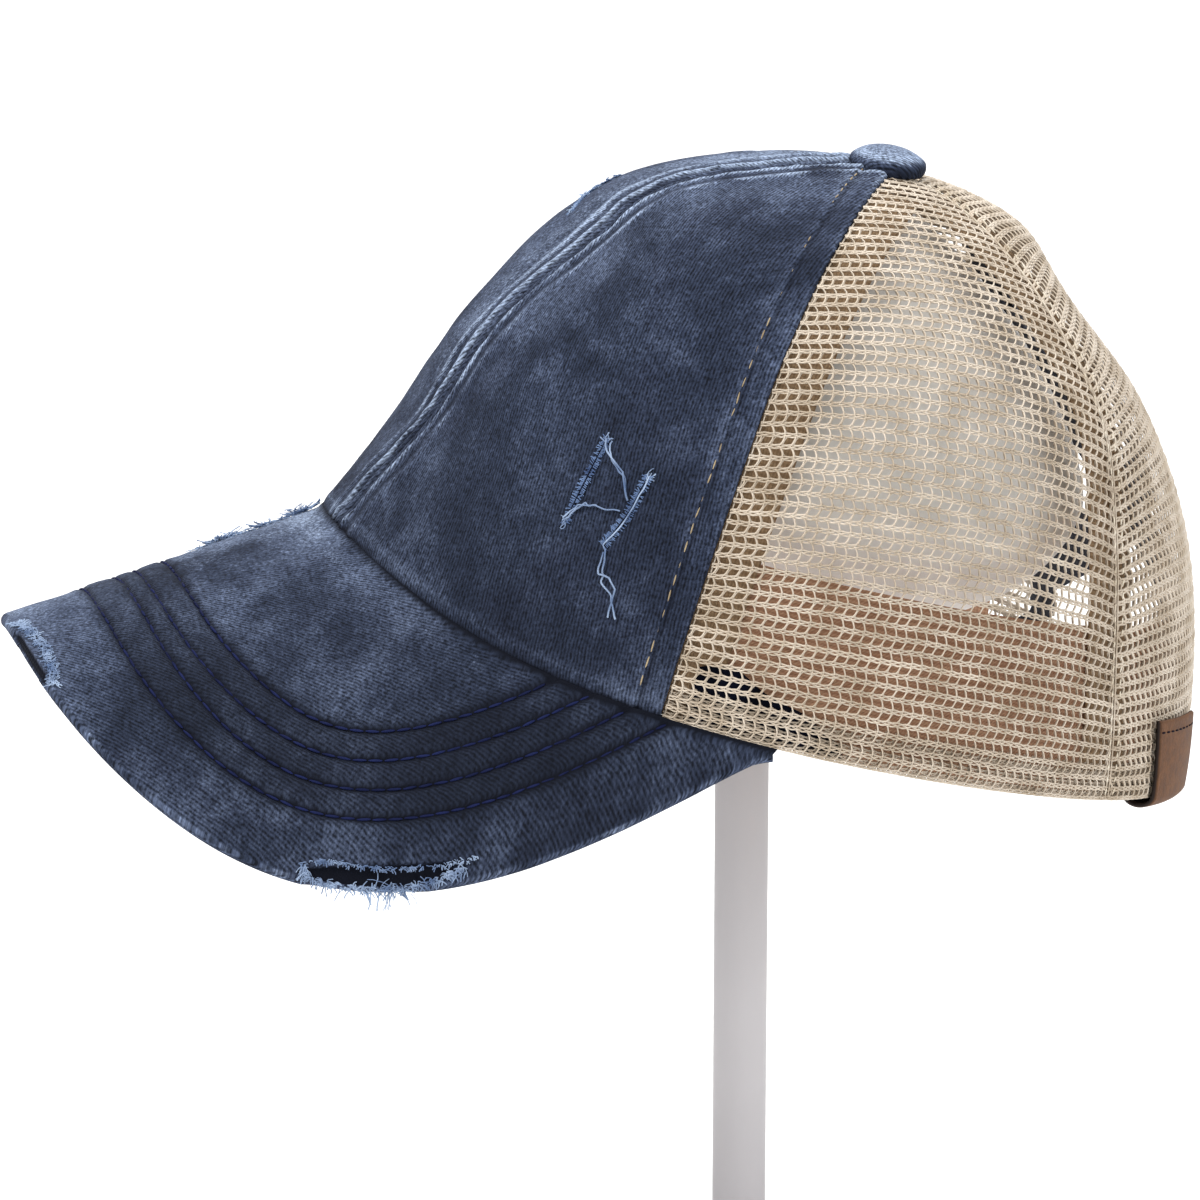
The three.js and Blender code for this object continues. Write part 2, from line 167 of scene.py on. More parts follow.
topLevel = levelAtRadius(crown["topHoleRadius"])


def placed(points):  # tips the cap back and lifts it onto the stand, in metres
    tilt = math.radians(crown["tilt"])
    x, y, z = points[..., 0], points[..., 1], points[..., 2]
    tipped = [x, y * math.cos(tilt) + z * math.sin(tilt) + crown["forward"],
              -y * math.sin(tilt) + z * math.cos(tilt) + crown["lift"]]
    return np.stack(tipped, -1) * 0.001


def softNoise(x, y, size, seed):  # smooth noise from -1 to 1 with lumps of about that size
    lattice = np.random.default_rng(seed).uniform(-1, 1, (64, 64))
    x, y = np.asarray(x) / size, np.asarray(y) / size
    column, row = np.floor(x).astype(int), np.floor(y).astype(int)
    partX, partY = x - column, y - row
    partX, partY = partX**2 * (3 - 2 * partX), partY**2 * (3 - 2 * partY)
    at = lambda i, j: lattice[(row + j) % 64, (column + i) % 64]
    low = at(0, 0) * (1 - partX) + at(1, 0) * partX
    high = at(0, 1) * (1 - partX) + at(1, 1) * partX
    return low * (1 - partY) + high * partY


def bump(distance, width):
    return np.exp(-((distance / width) ** 2))


def fade(value, low, high):
    share = np.clip((value - low) / (high - low), 0, 1)
    return share * share * (3 - 2 * share)


# Meshes

def addMesh(name, points, faces, edges=(), uv=None, marks=None, crease=55):
    mesh = bpy.data.meshes.new(name)
    mesh.from_pydata(points.reshape(-1, 3).tolist(), [tuple(e) for e in edges], [tuple(f) for f in faces])
    piece = bpy.data.objects.new(name, mesh)
    bpy.context.scene.collection.objects.link(piece)
    if len(faces):
        corner = np.zeros(len(mesh.loops), np.int32)
        mesh.loops.foreach_get("vertex_index", corner)
        if uv is not None:
            layer = mesh.uv_layers.new(name="cloth")
            layer.data.foreach_set("uv", uv.reshape(-1, 2)[corner].astype(np.float32).ravel())
        mesh.polygons.foreach_set("use_smooth", np.ones(len(mesh.polygons), bool))
        mesh.set_sharp_from_angle(angle=math.radians(crease))
    for key, values in (marks or {}).items():
        attribute = mesh.attributes.new(key, "FLOAT", "POINT")
        attribute.data.foreach_set("value", np.asarray(values, np.float32).ravel())
    mesh.update()
    return piece


def finishPiece(piece, material, slotName, *nodes):
    piece.data.materials.clear()
    piece.data.materials.append(material)
    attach(piece, "root")
    if nodes:
        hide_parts(*nodes)
    return piece


def gridQuads(rows, columns, start=0):
    low = (np.arange(rows)[:, None] * (columns + 1) + np.arange(columns)[None, :]).ravel() + start
    return np.stack([low, low + 1, low + columns + 2, low + columns + 1], -1)


def closedWall(name, outer, inner, uv, marks):  # columns run to the right and rows up, seen from outside
    rows, columns = outer.shape[0] - 1, outer.shape[1] - 1
    count = (rows + 1) * (columns + 1)
    across, upward = np.arange(columns), np.arange(rows)
    ring = np.concatenate([across, upward * (columns + 1) + columns,
                           rows * (columns + 1) + columns - across, (rows - upward) * (columns + 1)])
    after = np.roll(ring, -1)
    faces = np.concatenate([
        gridQuads(rows, columns), gridQuads(rows, columns, count)[:, ::-1],
        np.stack([after, ring, count + ring, count + after], -1),
    ])
    points = placed(np.concatenate([outer.reshape(-1, 3), inner.reshape(-1, 3)]))
    doubled = {key: np.concatenate([half.ravel() for half in pair]) for key, pair in marks.items()}
    return addMesh(name, points, faces, uv=np.concatenate([uv.reshape(-1, 2)] * 2), marks=doubled)


def latheMesh(profile, segments):  # the profile runs from the bottom's middle to the top's middle
    profile = np.asarray(profile, float)
    body = profile[1:-1]
    angle = np.radians(np.arange(segments) * 360 / segments)
    rings = np.stack([body[:, None, 0] * np.cos(angle), body[:, None, 0] * np.sin(angle),
                      np.repeat(body[:, 1:2], segments, 1)], -1)
    points = np.concatenate([rings.reshape(-1, 3), [[0, 0, profile[0, 1]], [0, 0, profile[-1, 1]]]])
    here = np.arange(segments)
    there = (here + 1) % segments
    faces = []
    for low in range(0, (len(body) - 1) * segments, segments):
        high = low + segments
        faces += np.stack([low + here, low + there, high + there, high + here], -1).tolist()
    bottom = len(body) * segments
    faces += [[bottom, b, a] for a, b in zip(here, there)]
    faces += [[bottom + 1, high + a, high + b] for a, b in zip(here, there)]
    return points, faces


# Node graphs: a maker adds nodes, and a field is a value that comes out of one and can be reckoned with

class NodeMaker:
    def __init__(self, graph):
        self.graph = graph

    def node(self, kind, inputs=None, **settings):
        made = self.graph.nodes.new(kind)
        for key, value in settings.items():
            setattr(made, key, value)
        for key, value in (inputs or {}).items():
            source = value.socket if isinstance(value, Field) else value
            if isinstance(source, bpy.types.NodeSocket):
                self.graph.links.new(source, made.inputs[key])
            else:
                made.inputs[key].default_value = source
        return made

    def out(self, kind, inputs=None, output=0, **settings):
        return self.node(kind, inputs, **settings).outputs[output]


class Field:
    def __init__(self, paint, socket):
        self.paint, self.socket = paint, socket

    def maths(self, operation, *others):
        return self.paint.field("ShaderNodeMath", dict(enumerate((self, *others))), operation=operation)

    def __add__(self, other):
        return self.maths("ADD", other)

    def __sub__(self, other):
        return self.maths("SUBTRACT", other)

    def __mul__(self, other):
        return self.maths("MULTIPLY", other)

    def clamp(self):
        return self.maths("MAXIMUM", 0.0).maths("MINIMUM", 1.0)

    def wave(self):  # a sine from 0 to 1
        return self.maths("SINE") * 0.5 + 0.5

    def step(self, low, high):  # smooth from 0 at low to 1 at high
        inputs = {"Value": self, "From Min": low, "From Max": high}
        return self.paint.field("ShaderNodeMapRange", inputs, interpolation_type="SMOOTHSTEP")


def colour(screen):  # screen values from 0 to 255 as linear light
    shares = [value / 255 for value in screen]
    return (*(c / 12.92 if c <= 0.04045 else ((c + 0.055) / 1.055) ** 2.4 for c in shares), 1.0)


class Paint(NodeMaker):
    def __init__(self, name):
        self.material = bpy.data.materials.new(name)
        self.material.use_nodes = True
        super().__init__(self.material.node_tree)
        self.graph.nodes.clear()

    def field(self, kind, inputs=None, output=0, **settings):
        return Field(self, self.out(kind, inputs, output, **settings))

    def clothPlace(self):
        return self.field("ShaderNodeUVMap", uv_map="cloth")

    def objectPlace(self):
        return self.field("ShaderNodeTexCoord", output="Object")

    def mark(self, name):
        return self.field("ShaderNodeAttribute", output="Fac", attribute_name=name)

    def stretched(self, place, size, turn=0.0):
        inputs = {"Vector": place, "Scale": size, "Rotation": (0, 0, math.radians(turn))}
        return self.field("ShaderNodeMapping", inputs)

    def noise(self, place, scale, detail=2.0, roughness=0.5, distortion=0.0):
        inputs = {"Vector": place, "Scale": scale, "Detail": detail, "Roughness": roughness}
        return self.field("ShaderNodeTexNoise", {**inputs, "Distortion": distortion})

    def mix(self, share, first, second, blend="MIX"):
        first, second = (shade if isinstance(shade, Field) else colour(shade) for shade in (first, second))
        inputs = {0: share, 6: first, 7: second}
        return self.field("ShaderNodeMix", inputs, 2, data_type="RGBA", blend_type=blend)

    def finish(self, base, rough, height, depth, strength, specular=0.5):
        relief = self.field("ShaderNodeBump", {"Strength": strength, "Distance": depth, "Height": height})
        coat = {"Base Color": base, "Roughness": rough, "Specular IOR Level": specular, "Normal": relief}
        self.node("ShaderNodeOutputMaterial", {0: self.out("ShaderNodeBsdfPrincipled", coat)})
        return self.material



# the darkest colour is for painted shade, the palest for worn cloth and for painted light
denimCloth = {"ribPitch": 0.68, "reliefDepth": 0.00015, "dark": (25, 31, 45), "middle": (48, 56, 75),
              "light": (90, 101, 124), "wornAndLit": (134, 148, 171), "groove": (11, 14, 24)}


def denimMaterial(name, ribTurn, finer=1.0):
    paint = Paint(name)
    place = paint.clothPlace()
    bent = paint.noise(place, 0.35)
    ribs = paint.stretched(place, (finer / denimCloth["ribPitch"],) * 3, ribTurn)
    rib = ((paint.field("ShaderNodeSeparateXYZ", {0: ribs}) + bent * 0.8) * (2 * math.pi)).wave()
    turned = paint.stretched(place, (1, 1, 1), ribTurn)
    yarn = paint.noise(paint.stretched(turned, (2.2, 0.8, 1)), 1.0, 3.0, 0.62)
    slub = paint.noise(paint.stretched(turned, (0.7, 0.25, 1)), 1.0, 3.0, 0.6)
    grain = paint.noise(place, 1.3, 3.0, 0.72)
    blotch = paint.noise(place, 0.15, 4.0, 0.62)
    cloud = paint.noise(place, 0.04, 3.0, 0.5, 0.5)
    # this mark lightens the cloth where it is worn and where light is painted on
    wearAndPaintedLight = paint.mark("wearAndPaintedLight")
    wash = cloud * 0.9 + blotch * 0.45 + slub * 0.25 + wearAndPaintedLight * 0.45
    base = paint.mix(wash.step(0.52, 1.08), denimCloth["dark"], denimCloth["middle"])
    base = paint.mix((wash + grain * 0.4).step(0.98, 1.6), base, denimCloth["light"])
    base = paint.mix((wearAndPaintedLight * 0.8 + blotch * 0.4 + grain * 0.7).step(0.95, 1.5), base, denimCloth["wornAndLit"])
    weave = rib * 0.6 + yarn * 0.8 + grain * 0.5
    tone = (grain - 0.5) * 3.2 + (yarn - 0.5) * 2.6 + (rib - 0.5) * 0.85 + (slub - 0.5) * 0.5 + 1.0
    tone = tone.maths("MAXIMUM", 0.25)
    grey = paint.field("ShaderNodeCombineColor", {0: tone, 1: tone, 2: tone})
    base = paint.mix(1.0, base, grey, "MULTIPLY")
    # painted shade: the shade mark darkens the cloth towards the darkest colour
    base = paint.mix(paint.mark("shade").clamp(), base, denimCloth["groove"])
    return paint.finish(base, yarn * 0.15 + 0.82, weave, denimCloth["reliefDepth"], 0.85, 0.12)


def threadMaterial(name, first, second, rough, shine=0.5):
    paint = Paint(name)
    place = paint.objectPlace()
    tone = paint.noise(place, 160.0, 3.0)
    fibre = paint.noise(paint.stretched(place, (1, 1, 0.35)), 900.0)
    base = paint.mix(tone.step(0.3, 0.7), first, second)
    return paint.finish(base, fibre * 0.2 + (rough - 0.1), fibre, 0.00006, 0.6, shine)


def wovenMaterial(name, dark, light, pitchU, pitchV, rough, relief):
    paint = Paint(name)
    place = paint.clothPlace()
    scaled = paint.stretched(place, (2 * math.pi / pitchU, 2 * math.pi / pitchV, 1))
    warp, weft = (paint.field("ShaderNodeSeparateXYZ", {0: scaled}, axis).wave() for axis in (0, 1))
    cloud = paint.noise(place, 0.12, 4.0, 0.6)
    fleck = paint.noise(place, 2.2)
    weave = warp * 0.5 + weft * 0.5 + fleck * 0.4
    base = paint.mix((cloud * 0.8 + weave * 0.5 - 0.35).step(0.1, 0.9), dark, light)
    return paint.finish(base, fleck * 0.15 + (rough - 0.08), weave, relief, 0.8)


def leatherMaterial(name, dark, light, edgeShade):
    paint = Paint(name)
    place = paint.clothPlace()
    grain = paint.field("ShaderNodeTexVoronoi", {"Vector": place, "Scale": 1.7}, feature="F1")
    cloud = paint.noise(place, 0.35, 4.0, 0.6)
    fine = paint.noise(place, 3.0, 3.0)
    base = paint.mix((cloud * 0.9 + fine * 0.3 - 0.1).step(0.2, 0.85), dark, light)
    base = paint.mix(paint.mark("shade").clamp(), base, edgeShade)
    return paint.finish(base, cloud * 0.2 + 0.5, grain * 0.6 + fine * 0.5, 0.00012, 0.7, 0.12)


def paintedMaterial(name, first, second, rough):
    paint = Paint(name)
    place = paint.objectPlace()
    fine = paint.noise(place, 420.0, 3.0)
    base = paint.mix(paint.noise(place, 14.0, 3.0).step(0.3, 0.7), first, second)
    return paint.finish(base, fine * 0.12 + (rough - 0.06), fine, 0.00006, 0.35)


materials = {
    "crownDenim": denimMaterial("crownDenim", 166),
    "farDenim": denimMaterial("farDenim", 14),
    "peakDenim": denimMaterial("peakDenim", 137, 1.18),
    "buttonDenim": denimMaterial("buttonDenim", 20),
    "net": threadMaterial("netThread", (184, 168, 147), (214, 201, 184), 0.45),
    "topStitch": threadMaterial("beigeThread", (132, 113, 84), (176, 158, 124), 0.6),
    "peakStitch": threadMaterial("navyThread", (13, 19, 48), (25, 33, 72), 0.7, 0.08),
    "fray": threadMaterial("frayThread", (82, 102, 137), (158, 176, 202), 0.8, 0.15),
    "slashTick": threadMaterial("slashThread", (44, 60, 96), (106, 128, 164), 0.8, 0.1),
    # near-black: painted shadow in the slashes and on the cloth turned in behind the net, and the label's dark
    # stitching thread
    "shadowAndDarkThread": threadMaterial("slitThread", (9, 11, 20), (18, 21, 36), 0.9, 0.05),
    "seamStitch": threadMaterial("paleThread", (206, 194, 172), (230, 222, 206), 0.5),
    "sweatband": wovenMaterial("sweatbandCloth", (150, 110, 84), (190, 152, 122), 0.9, 0.9, 0.85, 0.00012),
    "tape": wovenMaterial("tapeCloth", (132, 106, 78), (168, 142, 110), 0.7, 1.1, 0.85, 0.00012),
    "elastic": wovenMaterial("darkElastic", (12, 13, 22), (30, 33, 48), 1.6, 0.8, 0.75, 0.0002),
    "leather": leatherMaterial("labelLeather", (74, 46, 28), (114, 78, 50), (34, 27, 24)),
    # the form has the stand's paint, made lighter as painted light for the shade inside the cap
    "form": paintedMaterial("formPaint", (212, 209, 205), (222, 219, 215), 0.7),
    "stand": paintedMaterial("standPaint", (180, 177, 179), (190, 187, 189), 0.55),
    "floor": paintedMaterial("floorPaint", (248, 248, 248), (252, 252, 252), 0.8),
}
print("materials made:", len(materials))


# Geometry Nodes: each tree has named inputs and ends in Realize Instances and Set Material

class NodeTree(NodeMaker):
    def __init__(self, name, inputs):
        super().__init__(bpy.data.node_groups.new(name, "GeometryNodeTree"))
        self.identifiers = {}
        for key, kind in {"Geometry": "Geometry", **inputs, "Material": "Material"}.items():
            self.identifiers[key] = self.socket(key, "INPUT", kind)
        self.socket("Geometry", "OUTPUT", "Geometry")
        self.start = self.node("NodeGroupInput")

    def socket(self, key, way, kind):
        made = self.graph.interface.new_socket(name=key, in_out=way, socket_type="NodeSocket" + kind)
        return made.identifier

    def given(self, key):
        return self.start.outputs[key]

    def close(self, geometry):
        real = self.out("GeometryNodeRealizeInstances", {0: geometry})
        smooth = self.out("GeometryNodeSetShadeSmooth", {0: real})
        coat = self.out("GeometryNodeSetMaterial", {0: smooth, "Material": self.given("Material")})
        self.node("NodeGroupOutput", {0: coat})
        return self


def makeTubeTree():  # turns drawn lines into round threads of the thickness that each point has
    tree = NodeTree("threadTubes", {"Sides": "Int", "Thickness": "Float"})
    curve = tree.out("GeometryNodeMeshToCurve", {0: tree.given("Geometry")})
    thick = tree.out("GeometryNodeInputNamedAttribute", {"Name": "thick"}, data_type="FLOAT")
    half = tree.out("ShaderNodeMath", {0: thick, 1: tree.given("Thickness")}, operation="MULTIPLY")
    sized = tree.out("GeometryNodeSetCurveRadius", {"Curve": curve, "Radius": half})
    circle = {"Resolution": tree.given("Sides"), "Radius": 1.0}
    ring = tree.out("GeometryNodeCurvePrimitiveCircle", circle, mode="RADIUS")
    tube = tree.node("GeometryNodeCurveToMesh", {"Curve": sized, "Profile Curve": ring, "Fill Caps": True})
    if "Scale" in tube.inputs:
        tree.graph.links.new(half, tube.inputs["Scale"])
    return tree.close(tube.outputs[0])


def makeStitchTree():  # sets stitches along drawn lines, each a slim pad that dips into the cloth at its ends
    sizes = {key: "Float" for key in ("Pitch", "Length", "Thickness", "Slant")}
    tree = NodeTree("stitchRow", {**sizes, "Seed": "Int"})
    curve = tree.out("GeometryNodeMeshToCurve", {0: tree.given("Geometry")})
    steps = {"Curve": curve, "Length": tree.given("Pitch")}
    even = tree.out("GeometryNodeResampleCurve", steps, mode="LENGTH")
    pad = tree.out("GeometryNodeMeshUVSphere", {"Segments": 7, "Rings": 5, "Radius": 0.5})
    wide = tree.given("Thickness")
    size = tree.out("ShaderNodeCombineXYZ", {0: wide, 1: wide, 2: tree.given("Length")})
    jitter = {0: (-0.08, -0.08, -0.08), 1: (0.08, 0.08, 0.08), "Seed": tree.given("Seed")}
    lean = tree.out("ShaderNodeVectorMath", {
        0: tree.out("GeometryNodeInputTangent"),
        1: tree.out("FunctionNodeRandomValue", jitter, data_type="FLOAT_VECTOR"),
    }, operation="ADD")
    aim = tree.out("FunctionNodeAlignRotationToVector", {"Vector": lean}, axis="Z")
    turned = {"Rotation": aim, "Rotate By": tree.out("ShaderNodeCombineXYZ", {1: tree.given("Slant")})}
    swing = tree.out("FunctionNodeRotateRotation", turned, rotation_space="LOCAL")
    return tree.close(tree.out("GeometryNodeInstanceOnPoints", {
        "Points": even, "Instance": pad, "Rotation": swing, "Scale": size,
    }))


tubeTree = makeTubeTree()
stitchTree = makeStitchTree()


def lineMesh(name, lines, thick):  # rows of points in millimetres, each row with one width or one at each point
    counts = [len(line) for line in lines]
    first = np.cumsum([0] + counts[:-1])
    edges = [np.stack([np.arange(n - 1), np.arange(1, n)], -1) + f for n, f in zip(counts, first)]
    widths = np.concatenate([np.broadcast_to(t, n) for t, n in zip(thick, counts)])
    points = placed(np.concatenate(lines))
    return addMesh(name, points, [], edges=np.concatenate(edges), marks={"thick": widths})


def grow(piece, tree, values, material):  # runs a tree on drawn lines and keeps the result as a plain mesh
    modifier = piece.modifiers.new("grow", "NODES")
    modifier.node_group = tree.graph
    for key, value in {**values, "Material": material}.items():
        modifier[tree.identifiers[key]] = value
    piece.update_tag()
    evaluated = piece.evaluated_get(bpy.context.evaluated_depsgraph_get())
    mesh = bpy.data.meshes.new_from_object(evaluated)
    piece.modifiers.clear()
    old, piece.data = piece.data, mesh
    name = old.name
    bpy.data.meshes.remove(old)
    mesh.name = name
    if "thick" in mesh.attributes:
        mesh.attributes.remove(mesh.attributes["thick"])


def threads(name, lines, thick, sides, material, slotName):
    piece = lineMesh(name, lines, thick)
    radius = 0.0005  # in metres, for a thread one millimetre across
    grow(piece, tubeTree, {"Sides": sides, "Thickness": radius}, material)
    return finishPiece(piece, material, slotName)


def stitches(name, lines, pitch, length, thickness, material, slotName, seed, slant=0.0):
    piece = lineMesh(name, lines, [1.0] * len(lines))
    sizes = {"Pitch": pitch * 0.001, "Length": length * 0.001, "Thickness": thickness * 0.001}
    grow(piece, stitchTree, {**sizes, "Slant": slant, "Seed": seed}, material)
    return finishPiece(piece, material, slotName)


# Camera and light

def aimAt(turn, height):  # the direction from the object to a camera or lamp
    turn, height = math.radians(turn), math.radians(height)
    return Vector((math.sin(turn) * math.cos(height), -math.cos(turn) * math.cos(height), math.sin(height)))


view = {"azimuth": 72.55, "elevation": 18.15, "distance": 1300, "aside": -32.685, "above": 10.47,
        "lens": 185.4}
azimuth = math.radians(view["azimuth"])
toRight = Vector((math.cos(azimuth), math.sin(azimuth), 0))
toCamera = aimAt(view["azimuth"], view["elevation"])
toTop = toCamera.cross(toRight)
capOrigin = Vector((0, crown["forward"], crown["lift"]))
camera = bpy.data.objects.new("camera", bpy.data.cameras.new("camera"))
bpy.context.scene.collection.objects.link(camera)
camera.data.lens, camera.data.sensor_width = view["lens"], 36
camera.data.clip_start, camera.data.clip_end = 0.05, 60
aim = capOrigin + toRight * view["aside"] + toTop * view["above"]
camera.location = (aim + toCamera * view["distance"]) * 0.001
camera.rotation_mode = "QUATERNION"
camera.rotation_quaternion = Matrix((toRight, toTop, toCamera)).transposed().to_quaternion()
bpy.context.scene.camera = camera

lights = {  # azimuth, elevation, distance and size in metres, power, tint
    "keyLight": (14, 56, 1.3, 0.8, 11, (1.0, 0.985, 0.96)),
    "fillLight": (120, 30, 1.5, 1.2, 5, (0.97, 0.985, 1.0)),
    "backLight": (230, 50, 1.4, 1.0, 8, (1.0, 1.0, 1.0)),
}
lightCentre = Vector((0, 0, 0.18))
for name, (turn, height, distance, size, power, tint) in lights.items():
    lamp = bpy.data.objects.new(name, bpy.data.lights.new(name, "AREA"))
    bpy.context.scene.collection.objects.link(lamp)
    lamp.data.shape, lamp.data.size, lamp.data.energy, lamp.data.color = "DISK", size, power, tint
    lamp.location = lightCentre + aimAt(turn, height) * distance
    lamp.rotation_mode = "QUATERNION"
    lamp.rotation_quaternion = aimAt(turn, height).to_track_quat("Z", "Y")
world = bpy.data.worlds.new("studio")
world.use_nodes = True
background = world.node_tree.nodes["Background"]
background.inputs[0].default_value = (1, 1, 1, 1)
background.inputs[1].default_value = 0.95
bpy.context.scene.world = world
bpy.context.scene.view_settings.view_transform = "Standard"
floorHalf = 9.0  # in metres, so that no edge shows
floorCorners = np.array([[-1, -1, 0], [1, -1, 0], [1, 1, 0], [-1, 1, 0]]) * floorHalf
floor = addMesh("floor", floorCorners, [[0, 1, 2, 3]])
floor.data.materials.append(materials["floor"])
print("camera, light and floor made")


# Denim crown panels, with the folded seams' ridges and grooves in the surface

frontPanel = {"rows": 168, "edgeZone": 8, "edgeColumns": 20, "middleColumns": 44, "climbTurn": 30,
              "seamGroove": 2.2, "seamRidge": 3.25, "foldEdge": 7.4, "stitchInset": 5.0, "stitchPuff": 6.4,
              "farPaintedLight": 0.3}


def rowTable(side, levels, high):  # for each level, lengths along the crown at even turns from the front
    turns = np.linspace(0, high, 61)
    return turns, runAlong(crownPoint(bearingOf(side * turns)[None, :], levels[:, None]), 1)


def climb(turn, side, count, top):  # even steps up the crown by length, and the length at each
    fine = np.linspace(0, top, 600)
    run = runAlong(crownPoint(bearingOf(np.asarray(side * turn, float)), fine))
    wanted = np.linspace(0, run[-1], count)
    return np.interp(wanted, run, fine), wanted


def edgedColumns(width, zone, edgeCount, middleCount):  # places across a row, closer together near both seams
    zone = min(zone, 0.42 * width)
    left = zone * np.linspace(0, 1, edgeCount + 1) ** 1.15
    middle = np.linspace(zone, width - zone, middleCount + 1)[1:-1]
    return np.concatenate([left, middle, width - left[::-1]])


def denimPanel(side, name, node, material):
    levels, run = climb(frontPanel["climbTurn"], side, frontPanel["rows"] + 1, topLevel)
    turns, lengths = rowTable(side, levels, crown["frontSeam"])
    gap = crown["clearance"] / 2
    grid = []
    for length in lengths:
        x = edgedColumns(length[-1] - 2 * gap, frontPanel["edgeZone"], frontPanel["edgeColumns"],
                         frontPanel["middleColumns"]) + gap
        grid.append((np.interp(x, length, turns), x, length[-1] - x))
    turn, fromCentre, fromSeam = (np.array(column) for column in zip(*grid))
    up = np.repeat(run[:, None], turn.shape[1], 1)
    level = np.repeat(levels[:, None], turn.shape[1], 1)
    wave = softNoise(up, fromCentre * 0, 9, 3 + side)
    small = softNoise(up, fromCentre, 2.6, 5 + side)
    groove, ridge = fromCentre - frontPanel["seamGroove"], fromCentre - frontPanel["seamRidge"]
    fold = fromCentre - frontPanel["foldEdge"] - 0.8 * wave
    stitched, puff = fromSeam - frontPanel["stitchInset"], fromSeam - frontPanel["stitchPuff"]

    # relief of the centre seam, of the seam to the net, of the cloth between them and of the hem
    rise = (0.42 + 0.14 * wave) * bump(ridge, 0.75)
    rise -= 0.75 * bump(fromCentre, 0.42) + 0.42 * bump(groove, 0.42)
    rise += 0.2 * small * bump(ridge, 1.6) + (0.34 + 0.2 * wave) * bump(fold, 1.2)
    rise += 0.35 * bump(fromSeam - 2.4, 1.9) - 0.55 * bump(fromSeam, 0.4)
    rise += 0.2 * bump(puff, 1.1) - 0.34 * bump(stitched, 0.5)
    rise += 0.16 * softNoise(up, fromSeam, 3.4, 9) * bump(fromSeam - 5.6, 2.2)
    calm = fade(fromSeam, 5.5, 14)  # the cloth lies flat along the topstitching
    rise += 0.3 * softNoise(fromCentre + up * 0.7, up * 0.35, 15, 12) * fade(up, 0, 14) * calm
    rise += 0.16 * softNoise(fromCentre, up, 6, 14) * calm
    rise += 0.35 * bump(up - 2.2, 1.8) + 0.2 * small * bump(up - 3, 3)
    rise *= fade(run[-1] - up, -2, 6)

    # worn ridges, folds and edges, with painted light: the far panel, the upper cloth beside the centre seam
    # and the top are painted lighter, as lit from above and the left
    wearAndPaintedLight = 1.15 * bump(ridge - 0.3 * small, 0.75) * (0.7 + 0.3 * softNoise(up, fromCentre, 4, 21))
    wearAndPaintedLight += 0.8 * bump(fold, 0.9) * (0.55 + 0.45 * softNoise(up, fromCentre, 5, 23))
    wearAndPaintedLight += 0.3 * bump(fromCentre - 12, 9) * fade(up, 10, 50) + (frontPanel["farPaintedLight"] if side < 0 else 0)
    wearAndPaintedLight += 0.3 * bump(puff, 1.0) * (0.5 + 0.5 * softNoise(up, fromSeam, 5, 22))
    wearAndPaintedLight += 0.25 * bump(fromSeam - 0.8, 0.6) + 0.35 * bump(up - 2.6, 1.2) + 0.28 * fade(level, 0.55, 0.95)
    shade = 0.75 * bump(fromCentre, 0.35) + 0.55 * bump(groove, 0.35) + 0.55 * bump(stitched, 0.35)
    shade += 0.45 * bump(fromCentre - 5.2 - 0.5 * wave, 0.5)
    shade += 0.8 * bump(up, 0.6) + 0.26 * (1 - fade(up, 4, 46))

    outer = onCrown(side * turn, level, rise)
    inner = onCrown(side * turn, level, -crown["denimWall"])
    uv = np.stack([(fromCentre - fromSeam) / 2, up], -1)
    if side < 0:
        outer, inner, wearAndPaintedLight, shade = (grid[:, ::-1] for grid in (outer, inner, wearAndPaintedLight, shade))
        uv = uv[:, ::-1] * [-1, 1]
    none = np.zeros_like(wearAndPaintedLight)
    wall = closedWall(name, outer, inner, uv, {"wearAndPaintedLight": (wearAndPaintedLight, none), "shade": (shade, none)})
    return finishPiece(wall, material, "denim", node)


def seamLine(side, seamTurn, inset, levels, rise):  # beside a seam, inset to the front or, below zero, the back
    turn = seamTurn - turnsAcross(inset, side * seamTurn, levels)
    return onCrown(side * turn, levels, rise)


denimPanel(1, "denimFrontLeft", "front_panel_left", materials["crownDenim"])
denimPanel(-1, "denimFrontRight", "front_panel_right", materials["farDenim"])
stitchLevels = np.linspace(0.015, 0.93, 240)
for side, word in ((1, "Left"), (-1, "Right")):
    line = seamLine(side, crown["frontSeam"], frontPanel["stitchInset"], stitchLevels, -0.02)
    stitches("frontSeamStitches" + word, [line], 3.4, 2.75, 0.36, materials["topStitch"], "denim", 3)


# Peak: a board between two denim faces, with rows of stitching parallel to its outer edge

peak = {"reach": 73.5, "wall": 3.2, "halfTurn": 82, "usedShare": 0.93, "slope": 29.3, "sideSlope": 43,
        "spread": 6, "cornerStart": 8.3, "cornerFall": 4.4, "tongue": 4, "rimRise": 0.7, "tipCut": 0.035,
        "clothBend": 0.009, "columns": 250, "rows": 108, "underStep": 4, "noseRows": 10, "noseLength": 2.2,
        "rowSides": (14.5, 20.5, 26.5, 32.5), "rowTips": (18.9, 26.2, 30.4, 36.5), "tipShare": 0.55}


def peakLength(share):
    nose = 1 - peak["tipCut"] * bump(share + 0.03, 0.26)
    return peak["reach"] * nose * (1 - np.abs(share) ** peak["cornerStart"]) ** peak["cornerFall"]


def peakPoint(share, forward):
    share, forward = together(share, forward)
    slope = np.radians(peak["slope"] + peak["sideSlope"] * share**2)
    spread = np.radians(peak["spread"] * share)
    ahead = np.stack([np.sin(spread), -np.cos(spread) * np.cos(slope), -np.cos(spread) * np.sin(slope)], -1)
    return rimPoint(share * peak["halfTurn"]) + ahead * (peakLength(share) * forward)[..., None]


